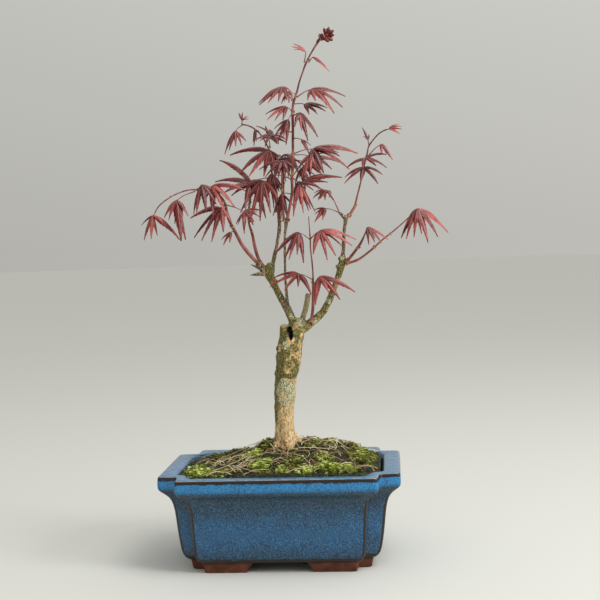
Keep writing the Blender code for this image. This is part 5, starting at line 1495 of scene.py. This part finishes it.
def leaf(name, junction, foot, tips, shade, node=None):
    """One maple leaf: lobes that fan out from the junction with its stalk, and the stalk."""
    junction, foot = Vector(junction), Vector(foot)
    tips = [Vector(t) for t in tips]
    mean = sum((t.normalized() for t in tips), Vector()).normalized()
    up = (Vector((0.0, 0.0, 1.0)) - DROOP * mean).normalized()
    side = up.orthogonal().normalized()
    ahead = up.cross(side)
    tips.sort(key=lambda t: math.atan2(t.dot(ahead), t.dot(side)))
    middles = [MIDDLE_AT * t + LOBE_ARCH * t.length * up for t in tips]
    lobes = []
    for i, tip in enumerate(tips):
        beside = (middles[i - 1], middles[(i + 1) % len(tips)])
        room = min((middles[i] - other).length for other in beside)
        half_width = min(LOBE_WIDTH * tip.length, NEIGHBOUR_SHARE * room)
        blade = lobe(junction, tip, up, half_width)
        tint = shade + chance.gauss(0, 0.09)
        paint(blade, "glow", [tint + 0.2 * p[1] for p in PATTERN_POINTS])
        lobes.append(blade)
    blades = join(lobes)
    finish_with(blades, "SOLIDIFY", thickness=BLADE_THICKNESS * MM, offset=-1.0)
    base = foot + (foot - junction).normalized() * 1.2
    bend = junction.lerp(foot, 0.45) + 0.06 * (foot - junction).length * up
    hub = junction - 0.1 * up
    route = [(*base, STALK_RADIUS * 1.25), (*bend, STALK_RADIUS * 0.8), (*hub, STALK_RADIUS * 0.9)]
    stalk = stem(route, 7, 1.6)
    paint(stalk, "along", [0.3 + 0.7 * shade] * len(stalk.data.vertices))
    blades.data.materials.append(leaf_face)
    stalk.data.materials.append(shoot_skin)
    whole = join([blades, stalk])
    smooth(whole, 50)
    whole.name = whole.data.name = name
    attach(whole, "root")
    if node:
        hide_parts(node)


for number, (leaf_junction, leaf_foot, leaf_tips) in enumerate(LEAVES, start=1):
    leaf_shade = SHADE_OF_LEAF.get(number, 0.3 + 0.03 * (number % 5))
    leaf(f"maple_leaf_{number:02d}", leaf_junction, leaf_foot, leaf_tips, leaf_shade, f"leaf_{number:02d}")
for number, (leaf_junction, leaf_foot, leaf_shade, leaf_tips) in enumerate(FILLING_LEAVES, start=1):
    leaf(f"filling_leaf_{number:02d}", leaf_junction, leaf_foot, leaf_tips, leaf_shade)


# the bud at the very top: leaflets still folded, each a creased and pointed bundle
BUNDLES = (                  # centre, half sizes, and which way its point looks
    ((42.4, 4.0, 450.6), (1.6, 1.6, 2.6), (0.6, 0.0, 1.0)),
    ((44.4, 4.0, 453.6), (1.9, 1.8, 3.4), (-0.3, 0.1, 1.0)),
    ((46.6, 2.6, 453.6), (2.3, 1.9, 3.6), (-0.3, -0.6, 0.8)),
    ((46.8, 6.0, 454.6), (2.2, 1.9, 3.4), (0.0, 0.6, 0.7)),
    ((50.0, 1.8, 450.8), (2.2, 1.8, 3.4), (0.5, -0.6, -0.7)),
    ((52.4, 2.8, 451.6), (2.0, 1.9, 3.2), (1.0, -0.2, -0.5)),
    ((52.0, 5.6, 452.2), (2.2, 2.0, 3.4), (1.0, 0.5, -0.1)),
    ((49.4, 4.0, 454.4), (2.6, 2.6, 3.0), (0.4, -0.5, 0.5)),
    ((48.6, 2.6, 458.4), (1.9, 1.8, 3.2), (-0.3, -0.4, 1.0)),
    ((51.4, 2.6, 457.6), (2.0, 1.9, 3.2), (0.5, -0.5, 0.8)),
    ((53.6, 4.8, 457.6), (1.9, 1.9, 3.2), (0.9, 0.2, 0.7)),
    ((49.6, 6.2, 458.6), (2.1, 1.9, 3.2), (-0.2, 0.6, 0.9)),
    ((51.4, 4.2, 459.6), (1.7, 1.7, 2.8), (0.2, 0.0, 1.0)),
    ((53.8, 3.4, 454.6), (1.9, 1.8, 3.0), (1.0, -0.4, 0.2)),
)


def folded_bud():
    """The cluster of folded leaflets that ends the leader shoot."""
    bundles = []
    for centre, half, look in BUNDLES:
        clear_selection()
        bpy.ops.mesh.primitive_uv_sphere_add(segments=20, ring_count=14, radius=1.0)
        bundle = bpy.context.object
        ahead = Vector(look).normalized()
        turned = ahead.to_track_quat("Z", "Y")
        for vert in bundle.data.vertices:
            p = vert.co.copy()
            turn = math.atan2(p.y, p.x)
            creased = 1 - 0.28 * abs(math.sin(3 * turn)) * (1 - abs(p.z))
            drawn = 1 - 0.35 * max(0.0, p.z) ** 2
            p = Vector((p.x * creased * drawn * half[0], p.y * creased * drawn * half[1], p.z * half[2]))
            vert.co = spot(*(Vector(centre) + turned @ p + 0.25 * noise.noise(p) * ahead))
        # each bundle's upward-facing skin is painted lighter: painted light from above
        paint(bundle, "glow", [0.32 + 0.45 * chance.random() * max(0.0, vert.normal.z)
                               for vert in bundle.data.vertices])
        bundles.append(bundle)
    bud = join(bundles)
    smooth(bud)
    return settle(bud, "folded_leaf_bud", [leaf_face], "red_maple_leaf", "terminal_bud")


folded_bud()
bpy.data.objects.remove(PATTERN)


# ---------------------------------------------------------------- floor, light and camera
clear_selection()
bpy.ops.mesh.primitive_plane_add(size=30.0)
floor = bpy.context.object
floor.name = "studio_floor"
floor_finish, _, floor_shader = new_finish("matt_pale_studio_floor", 0.9)
floor_shader.inputs["Base Color"].default_value = colour("#cfcfc9")
floor.data.materials.append(floor_finish)

# an even pale dome, brighter overhead and on the right
world = bpy.data.worlds.new("soft_studio")
bpy.context.scene.world = world
world.use_nodes = True
air = world.node_tree
sky = air.nodes["Background"]
heading = add(air, "SeparateXYZ", [(0, add(air, "TexCoord").outputs["Generated"])])
dome = ramp(air, heading.outputs["Z"], (0.0, "#bab9b3"), (0.2, "#c8c8c2"), (1.0, "#f0f0ee"))
sideways = add(air, "MapRange", [(0, heading.outputs["X"])], [(1, -1.0), (2, 1.0), (3, 0.75), (4, 1.25)])
air.links.new(dome, sky.inputs["Color"])
air.links.new(sideways.outputs[0], sky.inputs["Strength"])


def soft_box(name, place, size, watts):
    """A square studio lamp, its side in metres, that looks at the middle of the plant."""
    lamp = bpy.data.lights.new(name, "AREA")
    lamp.shape = "SQUARE"
    lamp.size = size
    lamp.energy = watts
    stand_in = bpy.data.objects.new(name, lamp)
    stand_in.location = place
    stand_in.rotation_euler = (PLANT_MIDDLE - Vector(place)).to_track_quat("-Z", "Y").to_euler()
    bpy.context.scene.collection.objects.link(stand_in)


PLANT_MIDDLE = Vector((0.0, 0.0, 0.2))
soft_box("overhead_soft_box", (0.6, -0.4, 1.4), 0.7, 9)
soft_box("front_right_soft_box", (1.9, -0.9, 1.1), 0.7, 22)
soft_box("front_left_fill", (-1.2, -1.4, 0.6), 1.0, 1)

VIEW_FROM = (101.0, -1048.0, 276.0)
VIEW_YAW, VIEW_PITCH, VIEW_ROLL = (math.radians(a) for a in (-4.45, -2.74, -1.87))
lens = bpy.data.cameras.new("camera")
lens.sensor_width = 36.0
lens.lens = 72.0
lens.clip_start = 0.01
camera = bpy.data.objects.new("camera", lens)
turned = (Matrix.Rotation(-VIEW_YAW, 4, "Z") @ Matrix.Rotation(math.pi / 2 + VIEW_PITCH, 4, "X")
          @ Matrix.Rotation(VIEW_ROLL, 4, "Z"))
camera.matrix_world = Matrix.Translation(spot(*VIEW_FROM)) @ turned
bpy.context.scene.collection.objects.link(camera)
bpy.context.scene.camera = camera
bpy.context.scene.view_settings.view_transform = "Standard"
